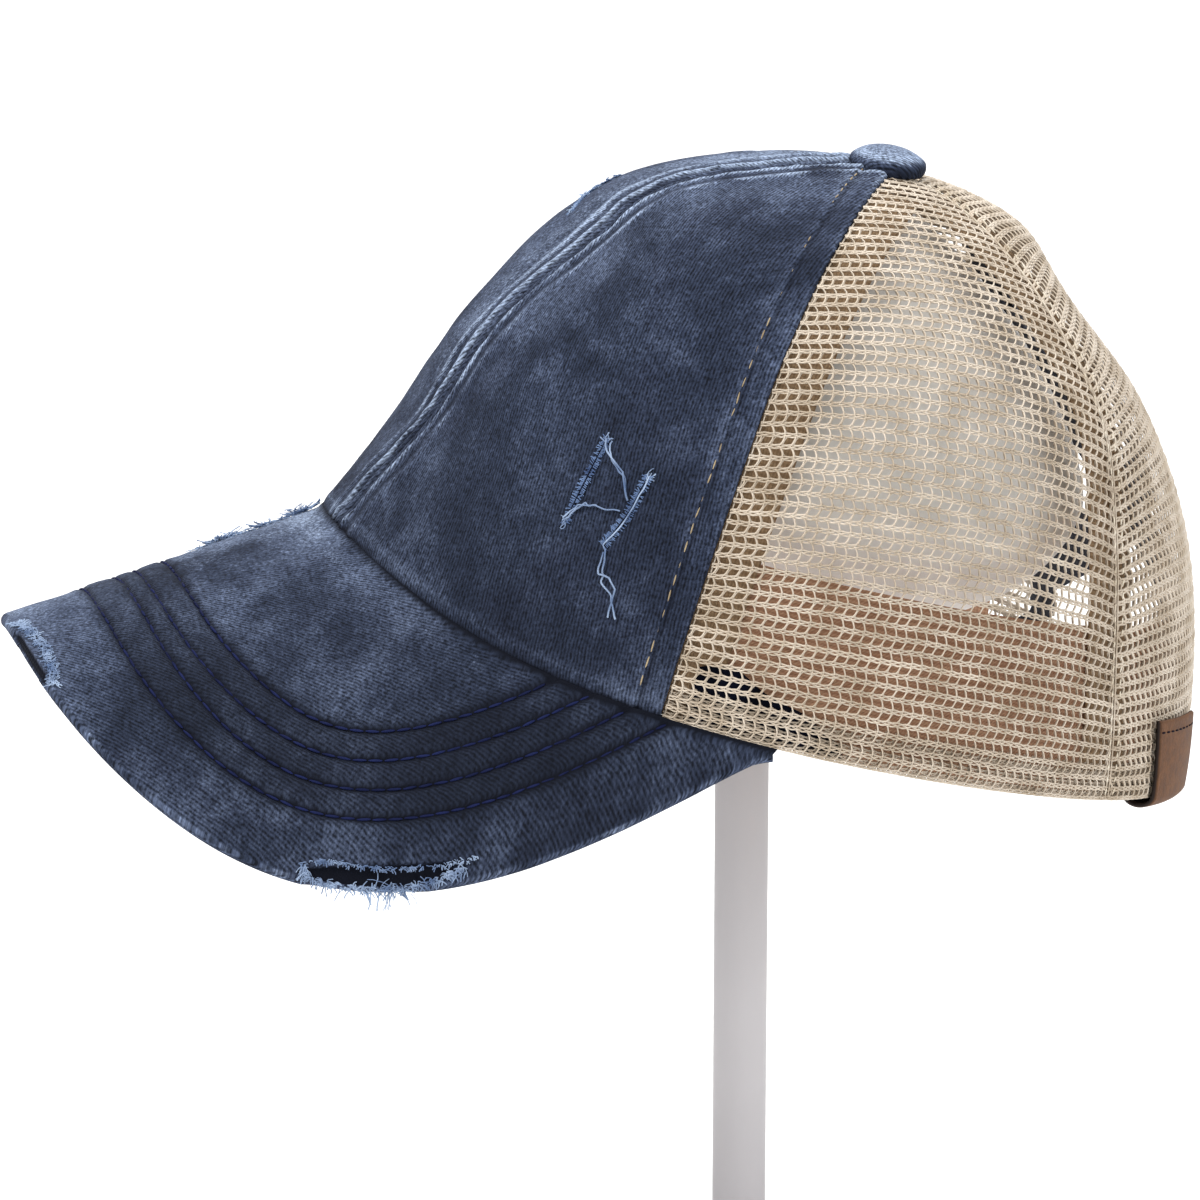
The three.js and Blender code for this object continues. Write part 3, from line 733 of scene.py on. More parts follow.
def peakNormal(share, forward):
    across = peakPoint(share + probe["share"], forward) - peakPoint(share - probe["share"], forward)
    back = peakPoint(share, np.zeros_like(forward)) - peakPoint(share, np.ones_like(forward))
    return unit(np.cross(across, back))


def rowOffsets(share):
    tip = 1 - fade(np.abs(share), 0.05, peak["tipShare"])
    return [side + (ahead - side) * tip for side, ahead in zip(peak["rowSides"], peak["rowTips"])]


edgeShares = np.linspace(-peak["usedShare"], peak["usedShare"], 500)
edgeLine = peakPoint(edgeShares, np.ones(500))
edgeRun = runAlong(edgeLine)


def fromPeakEdge(points, batch=4000):
    flat = points.reshape(-1, 3)
    parts = [flat[start:start + batch] for start in range(0, len(flat), batch)]
    nearest = [np.sqrt(((part[:, None] - edgeLine[None]) ** 2).sum(-1).min(1)) for part in parts]
    return np.concatenate(nearest).reshape(points.shape[:-1])


def peakRelief(share, along, fromEdge):  # height of the cloth over the board, its wear with painted light, and its shade
    offsets = rowOffsets(share)
    rise = np.zeros_like(fromEdge)
    shade = np.zeros_like(fromEdge)
    for index, offset in enumerate(offsets):
        beside = fromEdge - offset
        pucker = 0.5 + 0.5 * softNoise(along, fromEdge * 0 + index * 7, 2.4, 31)
        rise += 0.16 * pucker * bump(np.abs(beside) - 1.6, 0.9) - (0.34 + 0.2 * pucker) * bump(beside, 0.55)
        shade += 0.55 * bump(beside, 0.7) + 0.12 * pucker * bump(beside, 2.2)
    for first, second in zip(offsets, offsets[1:]):
        rise += 0.22 * bump(fromEdge - (first + second) / 2, 2.0)
    rise += 0.14 * softNoise(along, fromEdge, 7, 33)
    rise += 0.22 * softNoise(along, fromEdge * 0.6, 21, 34) * fade(fromEdge, 2, 12)
    stitched = fade(fromEdge, offsets[0] - 3, offsets[0]) * (1 - fade(fromEdge, offsets[3], offsets[3] + 3))
    wearAndPaintedLight = 0.2 * (1 - stitched) + 0.5 * bump(fromEdge, 1.3) * (0.6 + 0.4 * softNoise(along, fromEdge, 5, 35))
    wearAndPaintedLight += 0.25 * bump(fromEdge - 4, 3.5) * (0.4 + 0.6 * softNoise(along, fromEdge, 12, 36))
    # painted light: the peak is lighter to the left and darker to the right, as lit from the left
    wearAndPaintedLight += 0.5 * fade(-share, -0.25, 0.25) - 0.35 * fade(share, 0.45, 0.85)
    shade += 0.24 * stitched + 0.24 * fade(share, 0.08, 0.4) + 0.1 * fade(share, 0.62, 0.85)
    return rise, wearAndPaintedLight, shade


# Worn-through places at the peak's edge: middle and half length along the edge as shares, then the band from
# the edge inward, with values below zero round the edge's nose
tipTear = {"middle": 0.095, "half": 0.085, "low": -3.4, "high": 0.4}
sideTear = {"middle": 0.668, "half": 0.056, "low": 0.6, "high": 5.4}


def tearMask(tear, share, inward):
    along = np.abs(share - tear["middle"]) / tear["half"]
    middle, half = (tear["low"] + tear["high"]) / 2, (tear["high"] - tear["low"]) / 2
    ragged = 0.1 * softNoise(share * 400, inward, 1.6, 41)
    return 1 - fade(along**2.2 + (np.abs(inward - middle) / half) ** 2.2 + ragged, 0.75, 1.05)


def peakCloth(points):  # the cloth laid flat: its length across the peak's bend and away from the crown
    x, bend = points[..., 0], peak["clothBend"]
    across = x * np.sqrt(1 + (2 * bend * x) ** 2) / 2 + np.arcsinh(2 * bend * x) / (4 * bend)
    return np.stack([across, -points[..., 1] / math.cos(math.radians(peak["slope"]))], -1)


def peakFace(share, forwards):  # a face's points before relief, normals, edge distance, relief, wear with painted light, and shade
    shares = np.repeat(share[None, :], len(forwards), 0)
    points = peakPoint(shares, forwards)
    edge = fromPeakEdge(points)
    relief = peakRelief(shares, np.interp(shares, edgeShares, edgeRun), edge)
    return points, peakNormal(shares, forwards), edge, *relief


def peakPiece():
    columns = peak["columns"]
    share = np.linspace(-1, 1, columns + 1) * peak["usedShare"]
    length = peakLength(share)
    topEnd = 1 - np.minimum(peak["noseLength"] / length, 0.4)
    forwards = topEnd[None, :] * np.linspace(0, 1, peak["rows"] + 1)[:, None]
    top, normal, edge, rise, wearAndPaintedLight, shade = peakFace(share, forwards)
    rimRun = forwards * length[None, :]
    rise += peak["rimRise"] * bump(rimRun, 1.1)
    shade += 0.9 * bump(rimRun, 0.9)
    wearAndPaintedLight += 0.25 * bump(rimRun - 5, 4)
    tears = np.maximum(tearMask(sideTear, share[None, :], edge), tearMask(tipTear, share[None, :], edge))
    rise -= 1.1 * tears
    shade = np.maximum(shade, 1.2 * tears)
    topPoints = top + normal * (rise - crown["clearance"])[..., None]

    # the nose turns from the top face round to the underside
    half = peak["wall"] / 2
    endTop = top[-1] - normal[-1] * (crown["clearance"] + half)
    outward = unit(np.cross(np.gradient(top[-1], axis=0), normal[-1]))
    ahead = peakPoint(share, np.ones_like(share)) - peakPoint(share, np.zeros_like(share))
    outward *= np.sign((outward * ahead).sum(-1, keepdims=True))
    noseNoise = 0.6 + 0.4 * softNoise(np.interp(share, edgeShares, edgeRun), share * 0, 4, 37)
    nose, noseWear, noseShade = [], [], []
    for step in range(1, peak["noseRows"]):
        turned = step / peak["noseRows"]
        angle = math.pi * turned
        tear = tearMask(tipTear, share, np.full_like(share, -half * angle))
        lift = (half + rise[-1] * (1 - turned) - tear)[:, None]
        nose.append(endTop + normal[-1] * math.cos(angle) * lift + outward * math.sin(angle) * lift)
        noseWear.append(0.75 * (1 - 0.5 * turned) * noseNoise)
        noseShade.append(1.2 * tear)

    under = forwards[::-1][::peak["underStep"]]
    underTop, underNormal, _, underRise, underWearAndPaintedLight, underShade = peakFace(share, under)
    depth = crown["clearance"] + peak["wall"] + underRise * 0.5 * (under > 0.02)
    rim = rimPoint(share * peak["halfTurn"])
    tongue = rim * [1, 1, 0] * (1 - peak["tongue"] / np.hypot(rim[:, :1], rim[:, 1:2])) + rim * [0, 0, 1]
    tongue = tongue - [0, 0, crown["clearance"] + 0.1]
    underPoints = underTop - underNormal * depth[..., None]
    points = np.concatenate([tongue[None], topPoints, np.array(nose), underPoints])
    wearAndPaintedLight = np.concatenate([wearAndPaintedLight[:1] * 0, wearAndPaintedLight, np.array(noseWear), underWearAndPaintedLight * 0.6])
    shade = np.concatenate([shade[:1] * 0 + 0.9, shade, np.array(noseShade), underShade])
    # seen from above, rows run away from the rim, so the faces turn the other way
    rows = points.shape[0] - 1
    faces = gridQuads(rows, columns)[:, ::-1]
    left = np.arange(rows + 1) * (columns + 1)
    here, last = np.arange(columns), left[-1]
    closing = np.stack([here, here + 1, last + here + 1, last + here], -1)
    ends = [left.tolist(), (left + columns)[::-1].tolist()]
    piece = addMesh("denimPeak", placed(points), [*faces.tolist(), *closing.tolist(), *ends],
                    uv=peakCloth(points), marks={"wearAndPaintedLight": wearAndPaintedLight, "shade": shade}, crease=60)
    return finishPiece(piece, materials["peakDenim"], "denim", "peak")


def peakRowLines(depth):  # one line for each row of stitching, at a depth below the top face
    share = np.linspace(-peak["usedShare"], peak["usedShare"], 320)
    forward = np.linspace(0, 1, 160)
    shares, forwards = np.meshgrid(share, forward, indexing="ij")
    edge = fromPeakEdge(peakPoint(shares, forwards))
    lines = []
    for offset in rowOffsets(share):
        where = np.array([np.interp(-o, -e, forward, left=np.nan) for e, o in zip(edge, offset)])
        kept = ~np.isnan(where) & (where > 0.015)
        s, w = share[kept], where[kept]
        lines.append(peakPoint(s, w) - peakNormal(s, w) * depth)
    return lines


peakPiece()
for name, depth, length, thickness, seed in (("peakStitches", 0.22, 3.0, 0.62, 5),
                                             ("peakStitchesUnder", peak["wall"] + 0.05, 2.5, 0.5, 6)):
    rowLines = peakRowLines(crown["clearance"] + depth)
    stitches(name, rowLines, 3.1, length, thickness, materials["peakStitch"], "denim", seed)
print("peak made")


# Cloth-covered button

button = {"radius": 8, "height": 5.2, "lean": 8, "forward": 2.2, "lift": -1.3, "lip": 1.6, "lipAngle": -42,
          "segments": 72, "steps": 18}


def buttonPiece():
    bottom = crown["height"] + crown["clearance"]
    radius, height, lip = button["radius"], button["height"], button["lip"]
    angles = np.radians(np.linspace(button["lipAngle"], 90, button["steps"] + 1))[:-1]
    reach = np.where(angles < 0, radius - lip * (1 - np.cos(angles)), radius * np.cos(angles) ** 0.85)
    rise = np.where(angles < 0, lip * 1.35, height - lip) * np.sin(angles)
    body = np.stack([reach, bottom + lip + rise], -1)
    profile = [(0, bottom), (radius * 0.6, bottom), *body, (0, bottom + height)]
    points, faces = latheMesh(profile, button["segments"])
    angle = np.degrees(np.arctan2(points[:, 1], points[:, 0]))
    away = np.hypot(points[:, 0], points[:, 1]) / radius
    dents = 0.16 * softNoise(angle / 9, points[:, 2] * 2, 1.4, 51) * bump(away - 0.95, 0.25)
    points[:, 2] += 0.14 * softNoise(points[:, 0], points[:, 1], 3.2, 52) * (away < 0.9)
    points[:, :2] *= (1 + dents / radius)[:, None]
    up = points[:, 2] - bottom
    wearAndPaintedLight = 0.3 * bump(away - 0.82, 0.16) + 0.85 * fade(up, height * 0.3, height * 0.9)
    shade = 0.5 * (1 - fade(up, 0.5, height * 0.6))
    uv = np.stack([points[:, 0], points[:, 1] + 1.2 * up], -1)
    lean = math.radians(button["lean"])
    points = np.stack([points[:, 0], points[:, 1] * math.cos(lean) - up * math.sin(lean) - button["forward"],
                       points[:, 1] * math.sin(lean) + up * math.cos(lean) + bottom + button["lift"]], -1)
    marks = {"wearAndPaintedLight": wearAndPaintedLight, "shade": shade}
    piece = addMesh("clothButton", placed(points), faces, uv=uv, marks=marks, crease=70)
    return finishPiece(piece, materials["buttonDenim"], "denim", "top_button")


buttonPiece()


# Net panels: bundles of fine thread in rows, joined by pairs of threads that lean one way and then the other

net = {"backFuller": 1.35, "rowPitch": 2.42, "columnPitch": 2.26, "thread": 0.44, "wallThread": 0.4,
       "edgeThread": 0.42, "bundleHalf": 0.36, "sink": 0.6, "wave": 0.12, "spread": 0.36, "relief": 0.24,
       "hemHeight": 7.0, "hemRise": 0.8, "hemSink": 0.75, "foldDepth": 0.9, "edgeSink": 0.5}


class PanelMap:  # from a flat panel's millimetres, across and up its middle line, to turns and levels
    def __init__(self, side, middle, low, high):
        self.side, self.middle = side, middle
        levels, self.run = climb(middle, side, 160, 0.985)
        self.lift = np.radians(90 * levels)
        self.turns = np.linspace(low, high, 121)
        level = self.levelFor(self.turns[None, :], self.lift[:, None])
        points = crownPoint(bearingOf(side * self.turns)[None, :], level)
        steps = runAlong(points, 1)
        zero = np.array([np.interp(middle, self.turns, s) for s in steps])
        self.across = np.linspace(-75, 75, 301)
        self.table = np.array([np.interp(self.across, s - z, self.turns) for s, z in zip(steps, zero)])

    def levelFor(self, turn, lift):
        return np.degrees(np.arctan(np.tan(lift) * np.cos(np.radians(turn - self.middle)))) / 90

    def at(self, x, up):
        row = np.clip(np.interp(up, self.run, np.arange(len(self.run))), 0, len(self.run) - 1.001)
        column = (x - self.across[0]) / (self.across[1] - self.across[0])
        column = np.clip(column, 0, len(self.across) - 1.001)
        i, j = row.astype(int), column.astype(int)
        a, b = row - i, column - j
        turn = ((1 - a) * (1 - b) * self.table[i, j] + (1 - a) * b * self.table[i, j + 1]
                + a * (1 - b) * self.table[i + 1, j] + a * b * self.table[i + 1, j + 1])
        lift = np.interp(up, self.run, self.lift)
        return turn, self.levelFor(turn, lift)


def netPanel(side, name, node, fromTurn, toTurnAt, mapHigh, fuller=1.0):
    panel = PanelMap(side, (fromTurn + mapHigh) / 2, fromTurn - 6, mapHigh + 6)
    drawn = []

    def draw(x, up, depth, width):
        drawn.append(np.stack(np.broadcast_arrays(x, up, depth, width * fuller), -1))

    def rowEnds(up):  # where a row starts and ends inside the panel
        turn, level = panel.at(fine, np.full_like(fine, up))
        inside = (turn > fromTurn + 0.05) & (turn < toTurnAt(level) - 0.05) & (level < topLevel)
        kept = np.nonzero(inside)[0]
        return (fine[kept[0]], fine[kept[-1]]) if len(kept) > 3 else (1.0, -1.0)

    pitch, half = net["columnPitch"], net["columnPitch"] / 2
    fine = np.arange(-74, 74, 0.2)
    rowCounts = int(panel.run[-1] / net["rowPitch"]), int(net["hemHeight"] / net["rowPitch"]) + 1
    for layer, rowCount in enumerate(rowCounts):  # the net, and its hem turned up behind it
        for row in range(rowCount):
            up = row * net["rowPitch"] + 0.15 + layer * net["hemRise"]
            low, high = rowEnds(up)
            nextLow, nextHigh = rowEnds(up + net["rowPitch"] - 0.05)
            if high <= low:
                continue
            shift = half if row % 2 else 0.0
            places = np.arange(math.ceil((low - shift) / half), math.floor((high - shift) / half) + 1)
            x = np.concatenate([[low], places * half + shift, [high]])
            swing = np.concatenate([[0], np.where(places % 2 == 0, 1.0, -1.0), [0]])
            sink = net["sink"] + layer * net["hemSink"]
            drift = 0.16 * softNoise(x, np.full_like(x, up), 5, 61 + layer)
            for lane, sway in ((-1, 0.8), (0, -1.7), (1, 0.8)):  # a row is a bundle of three threads
                height = up + drift + lane * net["bundleHalf"] + swing * sway * net["wave"]
                weave = sink - (0.2 if lane == 0 else -0.06) * swing - 0.05
                draw(x, height, weave, net["thread"] * (1.1 if row == 0 else 1.0))
            lean = 1 if row % 2 == 0 else -1
            for column in range(math.ceil((low - shift) / pitch), math.floor((high - shift) / pitch) + 1):
                start = column * pitch + shift
                end = start + lean * half * 0.94 + 0.07 * math.sin(column * 2.3 + row * 1.7)
                if not nextLow <= end <= nextHigh:
                    continue
                share = np.array([0, 0.34, 0.68, 1.0])
                path = start + (end - start) * (share * 0.86 + 0.07)
                rise = up + share * (net["rowPitch"] - 0.1) + 0.05
                apart = net["spread"] * np.array([1.0, 0.28, 0.28, 1.0])
                under, over = np.array([0.5, 1.0, 1.0, 0.5]), np.array([0.0, 1.0, 1.0, 0.0])
                draw(path + apart, rise, sink + net["relief"] * under, net["wallThread"])
                draw(path - apart, rise, sink - net["relief"] * over, net["wallThread"])
    flat = np.concatenate(drawn)
    turn, level = panel.at(flat[:, 0], flat[:, 1])
    seam = crown["backSeam"]
    folds = net["foldDepth"] * bump((turn - seam) / turnsAcross(1.0, side * seam, level), 0.9)
    points = onCrown(side * turn, np.maximum(level, 0), -(flat[:, 2] + folds))
    cuts = np.cumsum([len(d) for d in drawn])[:-1]
    lines, thick = np.split(points, cuts), np.split(flat[:, 3], cuts)
    level = np.linspace(0.002, topLevel - 0.01, 150)
    for edge in (np.full_like(level, fromTurn + 0.3), toTurnAt(level) - 0.3):  # two threads along each side
        for depth in (-0.15, 0.35):
            lines.append(onCrown(side * edge, level, -(net["sink"] + depth + net["edgeSink"])))
            thick.append(net["edgeThread"])
    piece = threads(name, lines, thick, 3, materials["net"], "mesh")
    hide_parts(node)
    print(name, "threads", len(lines))


def openingEdge(level):
    return 180 - archTurn(level, 0)


def backSeamAt(level):
    return np.full_like(level, crown["backSeam"])


seamLevels = np.linspace(0.01, 0.93, 200)
for side, word in ((1, "Left"), (-1, "Right")):
    lower, seam = word.lower(), crown["backSeam"]
    netPanel(side, "netSide" + word, "mesh_side_" + lower, crown["frontSeam"], backSeamAt, seam)
    netPanel(side, "netBack" + word, "mesh_back_" + lower, seam, openingEdge, 180, net["backFuller"])
    stitchRows = [seamLine(side, seam, inset, seamLevels, -0.35) for inset in (1.3, -1.3)]
    stitches("backSeamStitches" + word, stitchRows, 2.5, 1.5, 0.34, materials["seamStitch"], "mesh", 8, 0.4)
print("net panels made")


# Bands and tapes inside the crown and across the opening

def shares(count, border):  # even steps from 0 to 1 with extra ones close to both ends
    ends = np.array([0, border * 0.25, border])
    return np.unique(np.concatenate([ends, np.linspace(border, 1 - border, count + 1), 1 - ends]))


def strip(name, nodes, side, place, steps, depth, wall, look, ribs=0.0, ribPitch=1.6, ribAcross=True):
    across, upward = shares(steps[0], 0.02), shares(steps[1], 0.06)
    a, r = np.meshgrid(across, upward)
    turn, level = place(1 - a if side < 0 else a, r)
    points = onCrown(side * turn, level, 0)
    uv = np.stack([runAlong(points, 1), runAlong(points, 0)], -1)
    pinch = fade(np.minimum(a, 1 - a) / 0.02, -0.6, 1) * fade(np.minimum(r, 1 - r) / 0.06, -0.6, 1)
    ridge = ribs * np.sin(uv[..., 0 if ribAcross else 1] * 2 * math.pi / ribPitch)
    middle, half = depth + wall / 2, wall / 2
    outer = onCrown(side * turn, level, -(middle - half * pinch - ridge * pinch))
    inner = onCrown(side * turn, level, -(middle + half * pinch))
    zero = np.zeros_like(a)
    piece = closedWall(name, outer, inner, uv, {"wearAndPaintedLight": (zero, zero), "shade": (zero, zero)})
    return finishPiece(piece, materials[look[0]], look[1], *nodes)


tapeDepth = crown["denimWall"] + crown["clearance"]
bandingDepth = tapeDepth + crown["tapeWall"] + crown["clearance"]
tape = {"frontWidth": 9.5, "frontLead": 1.4, "backWidth": 14.5, "backLead": 7, "topMargin": 13}
tapeTop = levelAtRadius(tape["topMargin"])
tapeLow = float(levelAtHeight(crown["clearance"]))


def tapePlace(word):  # the tape inside the front or the back seam
    turn, width, lead = crown[word + "Seam"], tape[word + "Width"], tape[word + "Lead"]

    def place(a, r):
        level = tapeLow + (tapeTop - tapeLow) * r
        return turn + turnsAcross(width * a - lead, turn, level), level
    return place


for word in ("front", "back"):
    for side, hand in ((1, "left"), (-1, "right")):
        strip(f"{word}Tape{hand.capitalize()}", [f"{word}_seam_tape_{hand}"], side, tapePlace(word),
              (10, 120), tapeDepth, crown["tapeWall"], ("tape", "seam_tape"), 0.08, 1.4)

# the peak's cloth, turned in behind the net, drawn near-black as painted shade
turnIn = {"start": 61, "end": 80, "height": 13, "depth": 1.55, "wall": 0.45}


def turnInPlace(a, r):
    high = turnIn["height"] * (1 - 0.75 * fade(a, 0.45, 1.0)) * (0.85 + 0.15 * np.sin(a * 9))
    return turnIn["start"] + (turnIn["end"] - turnIn["start"]) * a, levelAtHeight(0.4 + high * r)


for side, word in ((1, "Left"), (-1, "Right")):
    strip("peakTurnIn" + word, [], side, turnInPlace, (24, 10), turnIn["depth"], turnIn["wall"],
          ("shadowAndDarkThread", "denim"))

sweatband = {"height": 34, "ends": 6.8}


def sweatbandPlace(a, r):
    end = 180 - float(archTurn(0, sweatband["ends"]))
    return end * (2 * a - 1), float(levelAtHeight(sweatband["height"])) * r


strip("sweatbandCloth", ["sweatband"], 1, sweatbandPlace, (200, 20), bandingDepth, crown["sweatbandWall"],
      ("sweatband", "sweatband"))

opening = {"bindingWidth": 6.5, "bindingWall": 0.9, "bandWidth": 15, "bandWall": 1.2, "lowEnd": 24,
           "highEnd": 78, "overlap": 5}
bindingDepth = crown["netWall"] + crown["clearance"]
lowBandDepth = bindingDepth + opening["bindingWall"] + crown["clearance"]
highBandDepth = lowBandDepth + opening["bandWall"] + crown["clearance"]
outerTop = openingLevel + float(levelsAcross(opening["bindingWidth"], 180, openingLevel))


def bindingPlace(a, r):
    side = 0.88  # the share of the binding that runs up the side of the opening
    level = np.where(r < side, openingLevel * np.sin(math.pi / 2 * r / side),
                     openingLevel + (outerTop - openingLevel) * (r - side) / (1 - side))
    start = 180 - archTurn(level, opening["bindingWidth"])
    end = np.minimum(openingEdge(level), 180 - turnsAcross(crown["clearance"] / 2, 180, level))
    start = np.minimum(start, end - turnsAcross(crown["clearance"], 180, level))
    return start + (end - start) * a, level


def bandPlace(rising):
    ends = [float(archTurn(levelAtHeight(opening[end]), opening["overlap"])) for end in ("lowEnd", "highEnd")]
    near, far = ends if rising else ends[::-1]

    def place(a, r):
        share = a if rising else 1 - a
        centre = opening["lowEnd"] + (opening["highEnd"] - opening["lowEnd"]) * share
        low, high = (levelAtHeight(centre + shift * opening["bandWidth"] / 2) for shift in (-1, 1))
        return 180 - near + (near + far) * a, low + (high - low) * r
    return place


def strapPlace(a, r):
    height = crown["clearance"] + (crown["strapHeight"] - crown["clearance"]) * r
    half = float(archTurn(0, opening["overlap"]))
    return 180 + half * (2 * a - 1), levelAtHeight(height)


elastic = ("elastic", "dark_elastic")
for side, hand in ((1, "left"), (-1, "right")):
    strip("openingBinding" + hand.capitalize(), ["opening_binding_" + hand], side, bindingPlace, (10, 90),
          bindingDepth, opening["bindingWall"], elastic, 0.05, 0.9)
for word, depth in (("rising", lowBandDepth), ("falling", highBandDepth)):
    strip("crossingBand" + word.capitalize(), ["crossing_band_" + word], 1, bandPlace(word == "rising"),
          (84, 40), depth, opening["bandWall"], elastic, 0.13, 1.5, False)
strip("closingStrap", ["closing_strap"], 1, strapPlace, (80, 20), lowBandDepth, opening["bandWall"],
      elastic, 0.1, 1.2, False)
print("bands made")


# Leather label folded round the rim

label = {"inset": 14, "length": 26, "height": 15.5, "wall": 1.1, "innerHeight": 9, "foldDepth": 1.6,
         "columns": 36, "steps": 60, "stitchInset": 2.4}


def labelPiece():
    endTurn = 180 - float(archTurn(0, 0)) - float(turnsAcross(label["inset"], 180, 0))
    startTurn = endTurn - float(turnsAcross(label["length"], 180, 0))
    inside = bandingDepth + crown["sweatbandWall"] + crown["clearance"]

    def path(push):
        middle, half = (inside - crown["clearance"]) / 2, (inside + crown["clearance"]) / 2 + push
        angles = np.linspace(0, math.pi, 25)
        fold = [(middle + half * math.cos(a), -(label["foldDepth"] + push) * math.sin(a)) for a in angles]
        outside = -crown["clearance"] - push
        return np.array([(inside + push, label["innerHeight"]), *fold, (outside, label["height"])])

    def face(push):
        corners = path(push)
        run = runAlong(corners)
        steps = shares(label["steps"], 0.008) * run[-1]
        depth, height = np.interp(steps, run, corners[:, 0]), np.interp(steps, run, corners[:, 1])
        across = shares(label["columns"], 0.02)
        turn = startTurn + (endTurn - startTurn) * across
        points = onCrown(turn[None, :], levelAtHeight(np.maximum(height, 0))[:, None], -depth[:, None])
        points[..., 2] += np.minimum(height, 0)[:, None]
        return points, steps, across

    outer, steps, across = face(label["wall"])
    inner, _, _ = face(0.0)
    a, s = np.meshgrid(across, steps / steps[-1])
    pinch = fade(np.minimum(a, 1 - a) / 0.02, -0.5, 1) * fade(np.minimum(s, 1 - s) / 0.008, -0.5, 1)
    middle = (outer + inner) / 2
    outer, inner = middle + (outer - middle) * pinch[..., None], middle + (inner - middle) * pinch[..., None]
    uv = np.stack([a * label["length"], s * steps[-1]], -1)
    edge = np.clip(1.3 * bump(np.minimum(a, 1 - a), 0.016), 0, 1)
    piece = closedWall("leatherLabel", outer, inner, uv, {"shade": (edge, np.ones_like(edge))})
    finishPiece(piece, materials["leather"], "leather", "leather_label")
    turns = np.linspace(startTurn + 1.2, endTurn - 1.2, 40)
    rise = crown["clearance"] + label["wall"] + 0.02
    lines = [onCrown(turns, levelAtHeight(label["height"] - label["stitchInset"]), rise)]
    stitches("labelStitches", lines, 2.4, 1.9, 0.42, materials["shadowAndDarkThread"], "leather", 11)


labelPiece()
print("label made")


# Frayed threads at the slashes and tears

def towards(normal, gravity):
    down = np.array([0, math.sin(math.radians(crown["tilt"])), -math.cos(math.radians(crown["tilt"]))])
    return down * gravity + normal * (1 - gravity)


def fringe(roots, normals, alongs, count, length, reach, gravity, curl, seed):  # loose threads on a line
    rng = np.random.default_rng(seed)
    made, widths = [], []
    steps, lift = 5, 0.05
    for _ in range(count):
        k = rng.integers(0, len(roots))
        normal, along = normals[k], alongs[k]
        across = np.cross(normal, along)
        start = roots[k] + along * rng.normal(0, 0.4) + across * rng.uniform(-reach, reach) + normal * lift
        direction = along * rng.normal(0, 1.0) + across * rng.normal(0, 0.8) + normal * rng.normal(0.02, 0.1)
        direction /= np.linalg.norm(direction)
        size = length * rng.uniform(0.4, 1.3) / steps
        points = [start]
        for step in range(steps):
            direction = direction + rng.normal(0, curl, 3) + towards(normal * 0, gravity) * 0.35
            direction -= normal * (direction @ normal) * 0.5 * (gravity < 0.5)
            direction /= np.linalg.norm(direction)
            points.append(points[-1] + direction * size)
        made.append(np.array(points))
        widths.append(rng.uniform(0.15, 0.32))
    return made, widths


def alongPairs(pairs, count):  # even samples of both values along a list of pairs
    pairs = np.array(pairs, float)
    share = np.linspace(0, len(pairs) - 1, count)
    return (np.interp(share, np.arange(len(pairs)), column) for column in pairs.T)


def crownLine(pairs, count, rise):
    turn, level = alongPairs(pairs, count)
    points = onCrown(turn, level, rise)
    return points, crownNormal(turn, level), unit(np.gradient(points, axis=0))


def peakLine(pairs, count, rise):
    side, forward = alongPairs(pairs, count)
    normal = peakNormal(side, forward)
    points = peakPoint(side, forward) + normal * rise
    return points, normal, unit(np.gradient(points, axis=0))


slashes = {  # turn and level of each slash's ends
    "first": [(39.2, 0.292), (39.05, 0.231), (38.8, 0.171)],
    "second": [(47.0, 0.268), (46.6, 0.217), (45.0, 0.166)],
    "topFront": [(-23, 0.52), (-31, 0.56), (-34.5, 0.615)],
}
looseThreads = [  # longer threads that lie over the cloth
    [(39.2, 0.287), (40.2, 0.275), (42.0, 0.267), (43.7, 0.2587), (45.8, 0.2287)],
    [(39.9, 0.290), (40.6, 0.276), (42.1, 0.264), (43.9, 0.2555), (45.6, 0.2295)],
    [(38.4, 0.1772), (39.7, 0.1996), (42.0, 0.2074), (45.3, 0.2125)],
    [(38.5, 0.173), (39.6, 0.190), (40.6, 0.2046), (42.0, 0.2064)],
    [(47.1, 0.265), (47.0, 0.245), (46.9, 0.222), (46.2, 0.195), (45.2, 0.170), (45.4, 0.160)],
    [(45.4, 0.163), (46.0, 0.150), (46.2, 0.138), (46.6, 0.128), (48.2, 0.117), (49.2, 0.106), (49.9, 0.093)],
    [(45.2, 0.160), (45.5, 0.146), (46.0, 0.133), (47.6, 0.1335), (48.6, 0.124), (48.9, 0.108), (49.1, 0.090)],
]
slash = {"samples": 90, "width": 0.4, "tickShort": 0.4, "tickLong": 1.2, "tickShare": 0.75}
frayLines, frayWidths, slitShadowLines, slitShadowWidths, tickLines, tickWidths = [], [], [], [], [], []


def keep(made, widths):
    frayLines.extend(made)
    frayWidths.extend(widths)


